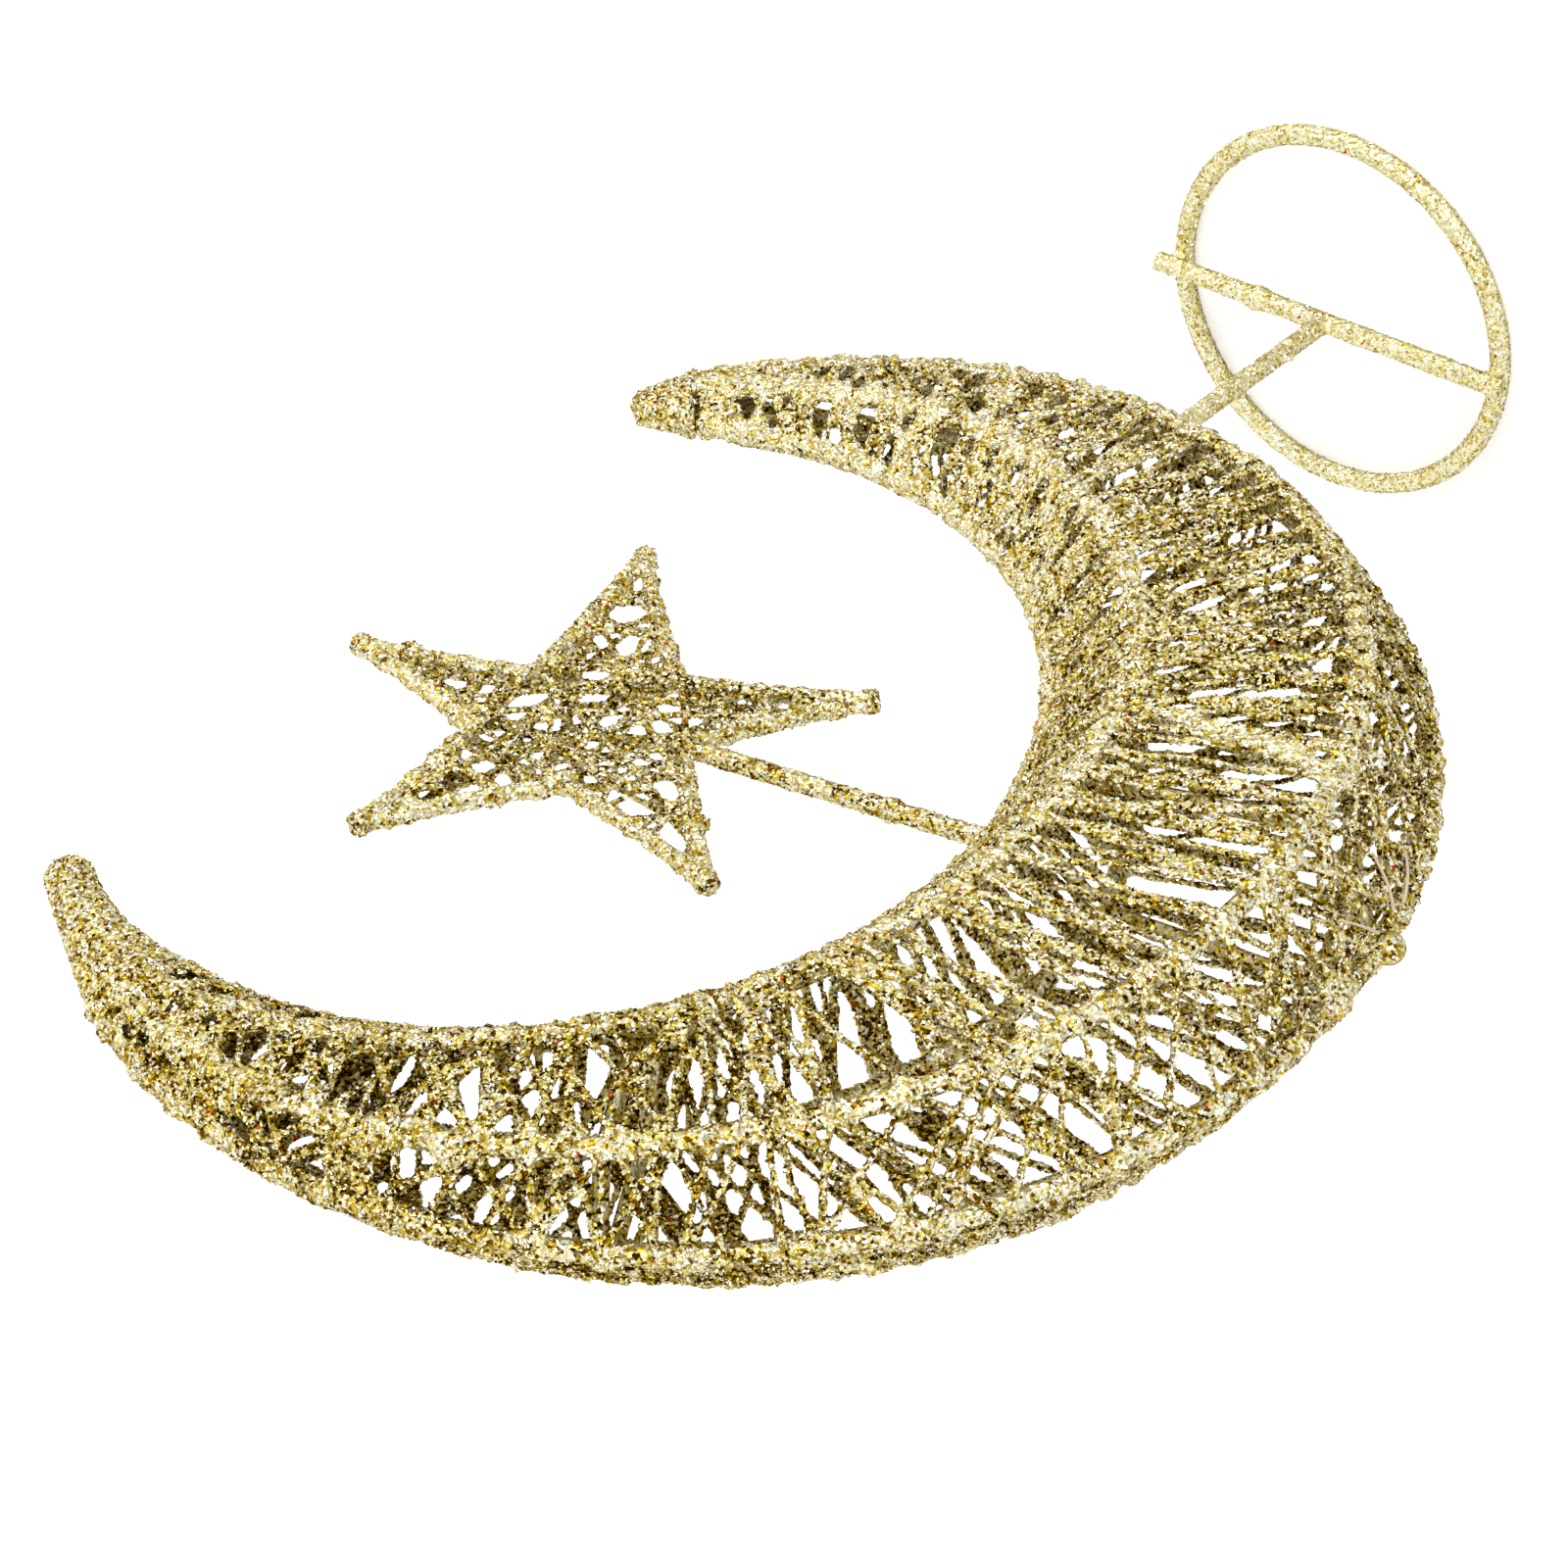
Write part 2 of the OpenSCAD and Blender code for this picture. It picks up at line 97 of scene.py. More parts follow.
class OrnamentSettings(bpy.types.PropertyGroup):
    """Thread and glitter of the ornament"""
    thread_radius: bpy.props.FloatProperty(
        name="Thread radius", description="Mean radius of the glitter thread",
        default=0.55 * MM, min=0.3 * MM, max=1 * MM, unit="LENGTH", precision=5)
    sway: bpy.props.FloatProperty(
        name="Sway", description="How far a thread strays from its straight line",
        default=0.7 * MM, min=0, max=2 * MM, unit="LENGTH", precision=5)
    voxel: bpy.props.FloatProperty(
        name="Skin step", description="Width of the faces of the fused crust",
        default=0.47 * MM, min=0.3 * MM, max=1 * MM, unit="LENGTH", precision=5)
    crust: bpy.props.FloatProperty(
        name="Crust", description="Spread of the glitter's rough surface",
        default=0.11 * MM, min=0, max=0.4 * MM, unit="LENGTH", precision=5)
    flake_size: bpy.props.FloatProperty(
        name="Flake size", description="Width of a glitter flake",
        default=0.55 * MM, min=0.2 * MM, max=1 * MM, unit="LENGTH", precision=5)
    flake_density: bpy.props.FloatProperty(
        name="Flakes per square millimetre", description="Loose flakes that stand on the threads",
        default=1.4, min=0, max=4)


class StageSettings(bpy.types.PropertyGroup):
    """Floor, lamps and camera"""
    floor_size: bpy.props.FloatProperty(
        name="Floor size", description="Width of the floor", default=12, min=2, unit="LENGTH")
    world_strength: bpy.props.FloatProperty(
        name="World strength", description="Light of the room on the object", default=0.62, min=0)
    key_power: bpy.props.FloatProperty(
        name="Key power", description="Power of the large lamp", default=4.6, min=0, unit="POWER")


# Shader maths

class Sock:
    """A shader socket that takes part in Python expressions"""

    def __init__(self, tree, socket):
        self.tree = tree
        self.socket = socket

    def _math(self, operation, a, b):
        return node(self.tree, "ShaderNodeMath", {"operation": operation}, {0: a, 1: b})[0]

    def __add__(self, other):
        return self._math("ADD", self, other)

    __radd__ = __add__

    def __mul__(self, other):
        return self._math("MULTIPLY", self, other)

    __rmul__ = __mul__

    def __sub__(self, other):
        return self._math("SUBTRACT", self, other)

    def __rsub__(self, other):
        return self._math("SUBTRACT", other, self)

    def __gt__(self, other):
        return self._math("GREATER_THAN", self, other)


class Outs:
    """The outputs of a node, by index or name"""

    def __init__(self, tree, made):
        self.tree = tree
        self.made = made

    def __getitem__(self, key):
        return Sock(self.tree, self.made.outputs[key])


def node(tree, kind, settings=None, inputs=None):
    """A node with its settings made first and its sockets given values or links"""
    made = tree.nodes.new(kind)
    for key, value in (settings or {}).items():
        if key == "stops":
            ramp = made.color_ramp
            while len(ramp.elements) < len(value):
                ramp.elements.new(1)
            for element, (place, colour) in zip(ramp.elements, value):
                element.position = place
                element.color = (*colour, 1)
        elif key == "blend":
            made.color_ramp.interpolation = value
        else:
            setattr(made, key, value)
    for key, value in (inputs or {}).items():
        socket = made.inputs[key]
        if isinstance(value, Sock):
            tree.links.new(value.socket, socket)
        else:
            socket.default_value = value
    return Outs(tree, made)


def new_material(name):
    """An empty material and its node tree"""
    material = bpy.data.materials.new(name)
    material.use_nodes = True
    material.node_tree.nodes.clear()
    return material, material.node_tree


# Shares up to which each colour holds, from the deepest to the brightest: of the crust that
# covers the thread, and of the loose flakes on it
CRUST_STOPS = (
    (0.00, (0.035, 0.015, 0.0003)),
    (0.13, (0.15, 0.064, 0.0004)),
    (0.26, (0.38, 0.243, 0.008)),
    (0.38, (0.65, 0.49, 0.068)),
    (0.54, (0.86, 0.77, 0.34)),
    (0.71, (0.97, 0.925, 0.64)),
    (0.89, (1.00, 1.00, 0.86)),
)
FLAKE_STOPS = (
    (0.00, (0.11, 0.055, 0.001)),
    (0.14, (0.45, 0.300, 0.015)),
    (0.27, (0.79, 0.665, 0.17)),
    (0.44, (0.95, 0.89, 0.50)),
    (0.62, (1.00, 0.98, 0.76)),
    (0.84, (1.00, 1.00, 0.93)),
)
# Shift along those colours beside a wire, from patch to patch, and the painted shade that darkens
# faces looking into the hollow of the cage
CRUST_GAIN = 0.2
FLAKE_GAIN = 0.15
INNER_SHADE = 0.16
PATCH_SPREAD = 0.5
PATCHES_PER_METRE = 110.0
# Lot from which a flake is a stray red one, and tints of the red, the warm and the grazing light
RED_FROM = 0.9985
RED = (0.62, 0.05, 0.03, 1)
WARM = (1, 0.93, 0.5, 1)
GRAZING = (0.6, 0.42, 0.14, 1)
# Coats that differ from the plain one: flake size against the setting, how far flakes tilt,
# how bright they are, partly as painted light on the sectors where the light falls, and how warm
GLITTERS = {
    "thread_glitter": {},
    "lighter_glitter": {"lift": 1.08},
    "darker_glitter": {"lift": 0.93},
    "wire_glitter": {"lift": 1.05},
    "foot_glitter": {"size": 0.9, "tilt": 0.45, "lift": 1.36, "warmth": 0.3},
}


def glitter(name, size=1.0, tilt=0.7, lift=1.0, warmth=0.0):
    """Coat of metal flakes: each flake has its own colour, gloss and lie"""
    flake = bpy.context.scene.ornament.flake_size * size
    material, tree = new_material(name)
    place = node(tree, "ShaderNodeTexCoord")["Object"]
    cells = node(tree, "ShaderNodeTexVoronoi", {"voronoi_dimensions": "3D", "feature": "F1"},
                 {"Vector": place, "Scale": 1 / flake, "Randomness": 1.0})
    parts = node(tree, "ShaderNodeSeparateColor", {}, {"Color": cells["Color"]})
    patches = node(tree, "ShaderNodeTexNoise", {"noise_dimensions": "3D"},
                   {"Vector": place, "Scale": PATCHES_PER_METRE, "Detail": 2.0, "Roughness": 0.6})
    beside = node(tree, "ShaderNodeAttribute", {"attribute_name": "beside_wire"})["Fac"]
    # Painted shade: the coat is darker where its faces look into the hollow of the cage
    inner = node(tree, "ShaderNodeAttribute", {"attribute_name": "inner_side"})["Fac"]
    share = parts["Red"] + (patches[0] - 0.5) * PATCH_SPREAD + beside * CRUST_GAIN
    share = share - inner * INNER_SHADE + (lift - 1)
    crust = node(tree, "ShaderNodeValToRGB", {"stops": CRUST_STOPS, "blend": "CONSTANT"},
                 {"Fac": share})
    lot = node(tree, "ShaderNodeAttribute", {"attribute_name": "flake"})["Fac"]
    plate = node(tree, "ShaderNodeValToRGB", {"stops": FLAKE_STOPS, "blend": "CONSTANT"},
                 {"Fac": lot + beside * FLAKE_GAIN - inner * INNER_SHADE + (lift - 1)})
    coat = node(tree, "ShaderNodeMix", {"data_type": "RGBA"},
                {"Factor": lot > 0.01, "A": crust["Color"], "B": plate["Color"]})
    colour = node(tree, "ShaderNodeMix", {"data_type": "RGBA"},
                  {"Factor": parts["Blue"] > RED_FROM, "A": Sock(tree, coat.made.outputs[2]),
                   "B": RED})
    colour = node(tree, "ShaderNodeMix", {"data_type": "RGBA", "blend_type": "MULTIPLY"},
                  {"Factor": warmth, "A": Sock(tree, colour.made.outputs[2]), "B": WARM})
    facing = node(tree, "ShaderNodeNewGeometry")["Normal"]
    lean = node(tree, "ShaderNodeVectorMath", {"operation": "SUBTRACT"},
                {0: cells["Color"], 1: (0.5, 0.5, 0.5)})
    lean = node(tree, "ShaderNodeVectorMath", {"operation": "SCALE"},
                {0: lean["Vector"], "Scale": tilt})
    turned = node(tree, "ShaderNodeVectorMath", {"operation": "ADD"},
                  {0: facing, 1: lean["Vector"]})
    turned = node(tree, "ShaderNodeVectorMath", {"operation": "NORMALIZE"}, {0: turned["Vector"]})
    shader = node(tree, "ShaderNodeBsdfPrincipled", {}, {
        "Base Color": Sock(tree, colour.made.outputs[2]),
        "Metallic": 1.0,
        "Roughness": parts["Green"] * 0.3 + 0.15,
        "Specular Tint": GRAZING,
        "Normal": turned["Vector"],
    })
    node(tree, "ShaderNodeOutputMaterial", {}, {"Surface": shader["BSDF"]})
    return material


def plain_thread(name):
    """Bare cotton thread where the glitter has come off"""
    material, tree = new_material(name)
    place = node(tree, "ShaderNodeTexCoord")["Object"]
    twist = node(tree, "ShaderNodeTexNoise", {"noise_dimensions": "3D"},
                 {"Vector": place, "Scale": 900.0, "Detail": 2.0})
    colour = node(tree, "ShaderNodeMix", {"data_type": "RGBA"},
                  {"Factor": twist[0], "A": (0.80, 0.58, 0.40, 1), "B": (0.93, 0.80, 0.62, 1)})
    shader = node(tree, "ShaderNodeBsdfPrincipled", {}, {
        "Base Color": Sock(tree, colour.made.outputs[2]),
        "Roughness": twist[0] * 0.3 + 0.5,
    })
    node(tree, "ShaderNodeOutputMaterial", {}, {"Surface": shader["BSDF"]})
    return material


MATERIALS = {}


def finish(name):
    """The material of that name, made when it is first asked for"""
    if name not in MATERIALS:
        if name in GLITTERS:
            MATERIALS[name] = glitter(name, **GLITTERS[name])
        else:
            MATERIALS[name] = plain_thread(name)
    return MATERIALS[name]


# The cage's wires

def bay_at(a):
    """Distance of the inner rim from the crescent's centre, at an angle"""
    return BAY_SHIFT * math.cos(a) + math.sqrt(BAY_R ** 2 - (BAY_SHIFT * math.sin(a)) ** 2)


def share_at(a, share):
    """Distance of a place at a share of the way from the inner to the outer rim"""
    return bay_at(a) + share * (RIM_R - bay_at(a))


HORN_START = math.acos(((RIM_R - GATHER_W) ** 2 + BAY_SHIFT ** 2 - BAY_R ** 2)
                       / (2 * (RIM_R - GATHER_W) * BAY_SHIFT))
UPPER_HORN_END = UPPER_END_SHARE * HORN_START
LOWER_HORN_END = LOWER_END_SHARE * HORN_START
HINGE_X = (RIM_R ** 2 - BAY_R ** 2 + BAY_SHIFT ** 2) / (2 * BAY_SHIFT)


def ridge(depth, shares):
    """A ridge's circle in its tilted plane, as tilt, centre and radius"""
    near = -share_at(BELLY, shares[0])
    far = share_at(HORN_START, shares[1])
    tilt = math.atan(depth / (HINGE_X - near))
    u0 = HINGE_X + (near - HINGE_X) / math.cos(tilt)
    u1 = HINGE_X + (far * math.cos(HORN_START) - HINGE_X) / math.cos(tilt)
    v1 = far * math.sin(HORN_START)
    centre = (u1 * u1 + v1 * v1 - u0 * u0) / (2 * (u1 - u0))
    return tilt, centre, centre - u0


RIDGES = ridge(*INNER_RIDGE), ridge(*OUTER_RIDGE)


def ridge_at(a, circle):
    """Distance from the centre and depth of a ridge, at an angle"""
    tilt, centre, radius = circle
    k = math.cos(a) / math.cos(tilt)
    m = centre - HINGE_X * (1 - 1 / math.cos(tilt))
    n = k * k + math.sin(a) ** 2
    r = (k * m + math.sqrt(k * k * m * m - n * (m * m - radius * radius))) / n
    return r, (HINGE_X - r * math.cos(a)) * math.tan(tilt)


def section(a):
    """The six wires of a section, from the inner rim over the front to the outer rim and back"""
    inner, outer = ridge_at(a, RIDGES[0]), ridge_at(a, RIDGES[1])
    return [Vector(p) for p in (
        (bay_at(a), 0), inner, outer, (RIM_R, 0),
        (outer[0], -outer[1]), (inner[0], -inner[1]))]


def placed(a, p):
    """A section's point on the standing ornament"""
    x, y, z = p[0] * math.cos(a), p[0] * math.sin(a), p[1]
    return Vector((x * math.cos(LEAN) - y * math.sin(LEAN), -z,
                   CENTRE_Z + x * math.sin(LEAN) + y * math.cos(LEAN)))


def side_normal(p, q):
    """The way out of the cage's side between two wires of a section"""
    side = q - p
    return Vector((-side.y, side.x)).normalized()


def over_wire(a, wire, reach):
    """The points where a thread bends over a wire, in the order in which it passes them"""
    s = section(a)
    before = side_normal(s[(wire + 5) % 6], s[wire])
    after = side_normal(s[wire], s[(wire + 1) % 6])
    middle = (before + after).normalized()
    return [placed(a, s[wire] + reach * n) for n in (before, middle, after)]


# Wires and threads as tubes, fused under one crust of glitter

def resampled(points, step):
    """The points of a polyline at about that spacing, its own corners kept"""
    out = [points[0]]
    for p, q in zip(points, points[1:]):
        count = max(1, round((q - p).length / step))
        out.extend(p.lerp(q, i / count) for i in range(1, count + 1))
    return out


# Length beside each bend over which a thread is held, and chance and size of a drop of glue
HELD = 3.5 * MM
DROP_CHANCE = 0.03
DROP_SIZE = 0.35
# Blender takes its noise vectors from the clock unless they have a seed
NOISE_SEED = 1


def strung(corners, rng, sway, step=1 * MM, scale=7 * MM):
    """A path from corner to corner that wanders between them, as thread does under glue"""
    noise.seed_set(NOISE_SEED)
    shift = Vector([rng.uniform(-50, 50) for _ in range(3)])
    out = [corners[0]]
    for p, q in zip(corners, corners[1:]):
        count = max(1, round((q - p).length / step))
        for i in range(1, count + 1):
            at = p.lerp(q, i / count)
            slack = min(1, min(i, count - i) * step / HELD)
            out.append(at + noise.noise_vector(at / scale + shift) * sway * slack)
    return out


def thickness(points, rng, low=0.82, high=1.22, scale=2.6 * MM):
    """Share of the radius at each point of a thread, with a drop of glue here and there"""
    shift = Vector([rng.uniform(-50, 50) for _ in range(3)])
    shares = []
    for p in points:
        share = (low + high) / 2 + (high - low) * 0.9 * noise.noise(p / scale + shift)
        if rng.random() < DROP_CHANCE:
            share += DROP_SIZE
        shares.append(min(1.5, max(0.7, share)))
    return shares


def tubes(name, runs, radius, closed=False, web=0.2 * MM):
    """Tubes along runs, each run its points and its shares of the radius, as one mesh"""
    curve = bpy.data.curves.new(name, "CURVE")
    curve.dimensions = "3D"
    curve.bevel_depth = radius + web
    curve.bevel_resolution = 1
    curve.use_fill_caps = True
    for points, shares in runs:
        spline = curve.splines.new("POLY")
        spline.points.add(len(points) - 1)
        spline.points.foreach_set("co", [c for p in points for c in (*p, 1)])
        spline.points.foreach_set("radius", [(radius * share + web) / (radius + web)
                                             for share in shares])
        spline.use_cyclic_u = closed
    holder = bpy.data.objects.new(name, curve)
    bpy.context.scene.collection.objects.link(holder)
    mesh = evaluated_mesh(holder)
    bpy.data.objects.remove(holder)
    bpy.data.curves.remove(curve)
    return mesh


def evaluated_mesh(holder):
    """The mesh that an object has with its modifiers"""
    graph = bpy.context.evaluated_depsgraph_get()
    graph.update()
    return bpy.data.meshes.new_from_object(holder.evaluated_get(graph), depsgraph=graph)


def joined(name, meshes):
    """Several meshes as one"""
    bm = bmesh.new()
    for mesh in meshes:
        bm.from_mesh(mesh)
    made = bpy.data.meshes.new(name)
    bm.to_mesh(made)
    bm.free()
    return made


def fused(mesh, voxel, web):
    """One skin round all that a mesh holds, drawn back by the web that fills its corners"""
    holder = bpy.data.objects.new("fused", mesh)
    bpy.context.scene.collection.objects.link(holder)
    skin = holder.modifiers.new("skin", "REMESH")
    skin.mode = "VOXEL"
    skin.voxel_size = voxel
    back = holder.modifiers.new("web", "DISPLACE")
    back.direction = "NORMAL"
    back.mid_level = 0
    back.strength = -web
    soft = holder.modifiers.new("fillets", "SMOOTH")
    soft.factor = 0.5
    soft.iterations = 2
    made = evaluated_mesh(holder)
    bpy.data.objects.remove(holder)
    return made


def roughen(mesh, spread, seed):
    """Moves each corner of a mesh in or out, as a crust of flakes does"""
    rng = np.random.default_rng(seed)
    count = len(mesh.vertices)
    places = np.empty(count * 3, np.float32)
    normals = np.empty(count * 3, np.float32)
    mesh.vertices.foreach_get("co", places)
    mesh.vertex_normals.foreach_get("vector", normals)
    steps = np.clip(rng.normal(0, spread, count), -2 * spread, 2 * spread)
    places = places.reshape(-1, 3) + normals.reshape(-1, 3) * steps[:, None]
    places += rng.normal(0, spread * 0.4, places.shape)
    mesh.vertices.foreach_set("co", places.astype(np.float32).ravel())
    mesh.update()


# How far the loose flakes lean out of the surface, in radians
FLAKE_LEAN = 0.7


def flake_group():
    """Node group that strews small plates over a surface, each with its own lean"""
    group = bpy.data.node_groups.new("glitter_flakes", "GeometryNodeTree")
    face = group.interface
    face.new_socket("Geometry", in_out="INPUT", socket_type="NodeSocketGeometry")
    for label in ("Density", "Size", "Lean"):
        face.new_socket(label, in_out="INPUT", socket_type="NodeSocketFloat")
    face.new_socket("Seed", in_out="INPUT", socket_type="NodeSocketInt")
    face.new_socket("Geometry", in_out="OUTPUT", socket_type="NodeSocketGeometry")
    base = node(group, "NodeGroupInput")
    points = node(group, "GeometryNodeDistributePointsOnFaces",
                  {"distribute_method": "RANDOM"},
                  {"Mesh": base["Geometry"], "Density": base["Density"], "Seed": base["Seed"]})
    plate = node(group, "GeometryNodeMeshCircle", {"fill_type": "NGON"}, {"Vertices": 4})
    group.links.new(base["Size"].socket, plate.made.inputs["Radius"])
    spread = node(group, "FunctionNodeRandomValue", {"data_type": "FLOAT"},
                  {2: 0.6, 3: 1.15, "Seed": base["Seed"]})
    laid = node(group, "GeometryNodeInstanceOnPoints", {},
                {"Points": points["Points"], "Instance": plate["Mesh"],
                 "Rotation": points["Rotation"], "Scale": Sock(group, spread.made.outputs[1])})
    lot = node(group, "FunctionNodeRandomValue", {"data_type": "FLOAT"},
               {2: 0.02, 3: 1.0, "Seed": base["Seed"]})
    laid = node(group, "GeometryNodeStoreNamedAttribute",
                {"data_type": "FLOAT", "domain": "INSTANCE"},
                {"Geometry": laid["Instances"], "Name": "flake",
                 "Value": Sock(group, lot.made.outputs[1])})
    turn = node(group, "FunctionNodeRandomValue", {"data_type": "FLOAT_VECTOR"},
                {0: (-1, -1, -4), 1: (1, 1, 4), "Seed": base["Seed"]})
    lean = node(group, "ShaderNodeVectorMath", {"operation": "SCALE"},
                {0: turn["Value"], "Scale": base["Lean"]})
    laid = node(group, "GeometryNodeRotateInstances", {},
                {"Instances": laid["Geometry"], "Rotation": lean["Vector"]})
    real = node(group, "GeometryNodeRealizeInstances", {}, {"Geometry": laid["Instances"]})
    both = node(group, "GeometryNodeJoinGeometry")
    group.links.new(real["Geometry"].socket, both.made.inputs[0])
    group.links.new(base["Geometry"].socket, both.made.inputs[0])
    out = group.nodes.new("NodeGroupOutput")
    group.links.new(both["Geometry"].socket, out.inputs[0])
    return group


def strew(mesh, density, size, seed):
    """A mesh with flakes laid on it; density is per square metre"""
    group = bpy.data.node_groups.get("glitter_flakes") or flake_group()
    holder = bpy.data.objects.new("strewn", mesh)
    bpy.context.scene.collection.objects.link(holder)
    modifier = holder.modifiers.new("flakes", "NODES")
    modifier.node_group = group
    ids = {s.name: s.identifier for s in group.interface.items_tree if s.in_out == "INPUT"}
    for label, value in (("Density", density), ("Size", size / math.sqrt(2)),
                         ("Lean", FLAKE_LEAN), ("Seed", seed)):
        modifier[ids[label]] = value
    made = evaluated_mesh(holder)
    bpy.data.objects.remove(holder)
    return made


# Width over which the glitter beside a wire thins out
CLING_FADE = 1.2 * MM


def mark_wires(mesh, wires, cling):
    """Stores how close each corner is to a wire, where more glitter clings"""
    near = kdtree.KDTree(sum(len(wire) for wire in wires))
    for i, p in enumerate(p for wire in wires for p in wire):
        near.insert(p, i)
    near.balance()
    marks = mesh.attributes.new("beside_wire", "FLOAT", "POINT")
    marks.data.foreach_set("value", [
        min(1, max(0, (cling - near.find(v.co)[2]) / CLING_FADE)) for v in mesh.vertices])


def mark_inner_shade(mesh):
    """Stores which corners look into the hollow of the cage, where the coat is painted darker as
    shade
    """
    count = len(mesh.vertices)
    places, normals = np.empty(count * 3, np.float32), np.empty(count * 3, np.float32)
    mesh.vertices.foreach_get("co", places)
    mesh.vertex_normals.foreach_get("vector", normals)
    x, y, z = places.reshape(-1, 3).T - np.array([[0], [0], [CENTRE_Z]])
    nx, ny, nz = normals.reshape(-1, 3).T
    c, s = math.cos(LEAN), math.sin(LEAN)
    x, z, nx, nz = c * x + s * z, c * z - s * x, c * nx + s * nz, c * nz - s * nx
    r = np.hypot(x, z)
    bay = BAY_SHIFT * x / r + np.sqrt(BAY_R ** 2 - (BAY_SHIFT * z / r) ** 2)
    out = r - (bay + RIM_R) / 2
    facing = ((nx * x + nz * z) / r * out + ny * y) / np.hypot(out, y)
    marks = mesh.attributes.new("inner_side", "FLOAT", "POINT")
    marks.data.foreach_set("value", np.clip(0.5 - 1.5 * facing, 0, 1).astype(np.float32))


def add_piece(name, mesh, material, replaces=()):
    """Puts a finished mesh in the scene, riding on the ornament"""
    mesh.name = name
    mesh.materials.clear()
    mesh.materials.append(finish(material))
    mesh.shade_flat()
    piece = bpy.data.objects.new(name, mesh)
    bpy.context.scene.collection.objects.link(piece)
    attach(piece, "root")
    if replaces:
        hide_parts(*replaces)
    mesh.calc_loop_triangles()
    print(f"{name}: {len(mesh.loop_triangles)} triangles")
    return piece


def crusted_piece(name, meshes, material, seed, replaces=(), crust=1.0, wires=(),
                  web=0.2 * MM, cling=3.3 * MM):
    """Tubes fused under a crust of glitter, with loose flakes on it"""
    sizes = bpy.context.scene.ornament
    mesh = fused(joined(name, meshes), sizes.voxel, web)
    roughen(mesh, sizes.crust * crust, seed)
    mesh = strew(mesh, sizes.flake_density * 1e6, sizes.flake_size, seed)
    if wires:
        mark_wires(mesh, [resampled(wire, 0.8 * MM) for wire in wires], cling)
    if len(wires) >= 6:
        # Painted shade on the faces that look into the hollow of the crescent's cage
        mark_inner_shade(mesh)
    return add_piece(name, mesh, material, replaces)


# Winding of the crescent

# Angles between which the cage is wound, how far from a wire's coat threads lie in
# millimetres, and how much less they wander on the inner rim
WOUND = (math.radians(57.2), math.radians(302.6))
LAID = (-0.1, 0.45)
INNER_WANDER = 0.5


def nests(rng, first, last, gap):
    """Angles on a wire where threads slip together"""
    places, at = [], first
    while at < last:
        places.append(at)
        at += rng.uniform(0.5, 1.5) * gap
    return places + [last]


def nearest(places, a):
    """The place that lies closest to an angle"""
    return min(places, key=lambda p: abs(p - a))


def winding(rng, grips, angles, loops, slants, wander, pull):
    """One thread wound round the cage from one angle to another"""
    first, last = angles
    points = []
    for step in range(loops * 6 + 1):
        wire = step % 6
        a = first + (last - first) * step / (loops * 6) + slants[wire]
        a += rng.gauss(0, wander) * (INNER_WANDER if wire == 0 else 1)
        a += pull * (nearest(grips[wire], a) - a)
        a = min(WOUND[1], max(WOUND[0], a))
        reach = CAGE_WIRE_R + rng.uniform(*LAID) * MM
        points.extend(over_wire(a, wire, reach))
    return points


# How far a thread of the first and of the second layer is ahead at each of the six wires, in
# degrees: the layers cross, and most where the cage is open
CROSSED = ((0, 1, 5, 9, 5, 1), (0, -1, -5, -9, -5, -1))
ZIGZAG = ((0, 0, 8, 12, 6, -2), (0, 1, 0, -5, 2, 2))
LEANING = ((0, 1, 8, 15, 9, 1), (0, 0, 6, 2, 6, -1))
RACING = ((0, 1, 8, 14, 9, 1), (0, 0, 6, 6, 7, 0))
CROSSING = ((0, 1, 3, 11, 5, 1), (0, 0, -2, -11, -6, -1))

# Spacing of the nests on each wire, against the sector's own
NEST_SHARES = (0.8, 0.8, 1.0, 1.2, 1.0, 0.8)

# Sectors of the crescent: name, the CAD winding that stands there, angles, loops of each layer,
# the layers' slants, how far threads wander, how strongly they slip together, the nests' gap,
# and how much glue fills the corners between threads, in millimetres
SECTORS = (
    ("horn_end", "upper_horn_winding", (57.4, 84), 14, CROSSED, 1.8, 0.5, 2.6, 0.45),
    ("horn", "upper_horn_winding", (83, 113), 13, ZIGZAG, 2.3, 0.8, 3.4, 0.3),
    ("upper_arm", "upper_arm_winding", (112, 132), 7, LEANING, 2.3, 0.85, 3.2, 0.1),
    ("shoulder", "upper_arm_winding", (131, 151), 7, LEANING, 2.3, 0.85, 3.1, 0.1),
    ("crown", "upper_arm_winding", (150, 171), 7, RACING, 2.4, 0.85, 3.4, 0.1),
    ("belly_top", "belly_winding", (170, 192), 7, CROSSING, 2.2, 0.85, 3.6, 0.2),
    ("belly", "belly_winding", (191, 213), 9, CROSSING, 1.8, 0.7, 2.8, 0.25),
    ("belly_low", "belly_winding", (212, 234), 9, CROSSING, 1.8, 0.7, 2.8, 0.25),
    ("belly_foot", "belly_winding", (233, 255), 9, CROSSING, 1.8, 0.7, 2.8, 0.25),
    ("lower_arm", "lower_arm_winding", (254, 279), 12, CROSSED, 1.8, 0.5, 2.6, 0.4),
    ("lower_horn", "lower_arm_winding", (278, 302.5), 12, CROSSED, 1.8, 0.5, 2.6, 0.45),
)
# Sectors whose coat is darker than the lighter one that the others take, and their coats; the
# lighter coat on the lower arm and horn is painted light, for the light that falls on them
COATS = {
    "horn_end": "darker_glitter", "horn": "darker_glitter", "upper_arm": "thread_glitter",
    "belly": "thread_glitter", "belly_low": "thread_glitter",
}
# Ends of the rib that shows through on the front, on the inner and the outer ridge, and the
# wound knob on the outer rim
RIB_ENDS = (math.radians(194), math.radians(185))
KNOB_ANGLE = math.radians(177.6)
KNOB_R = 2.3 * MM
KNOB_STEPS = (0, 1.4 * MM, 2.8 * MM)
# Threads that stand loose on the outer ridge's side: angle and share of the side at each end
LOOSE_ENDS = (
    ((179.5, 0.86), (181.0, 0.5)), ((181.0, 0.9), (185.0, 0.72)), ((176.5, 0.85), (173.5, 0.55)))
LOOSE_STEPS = 12


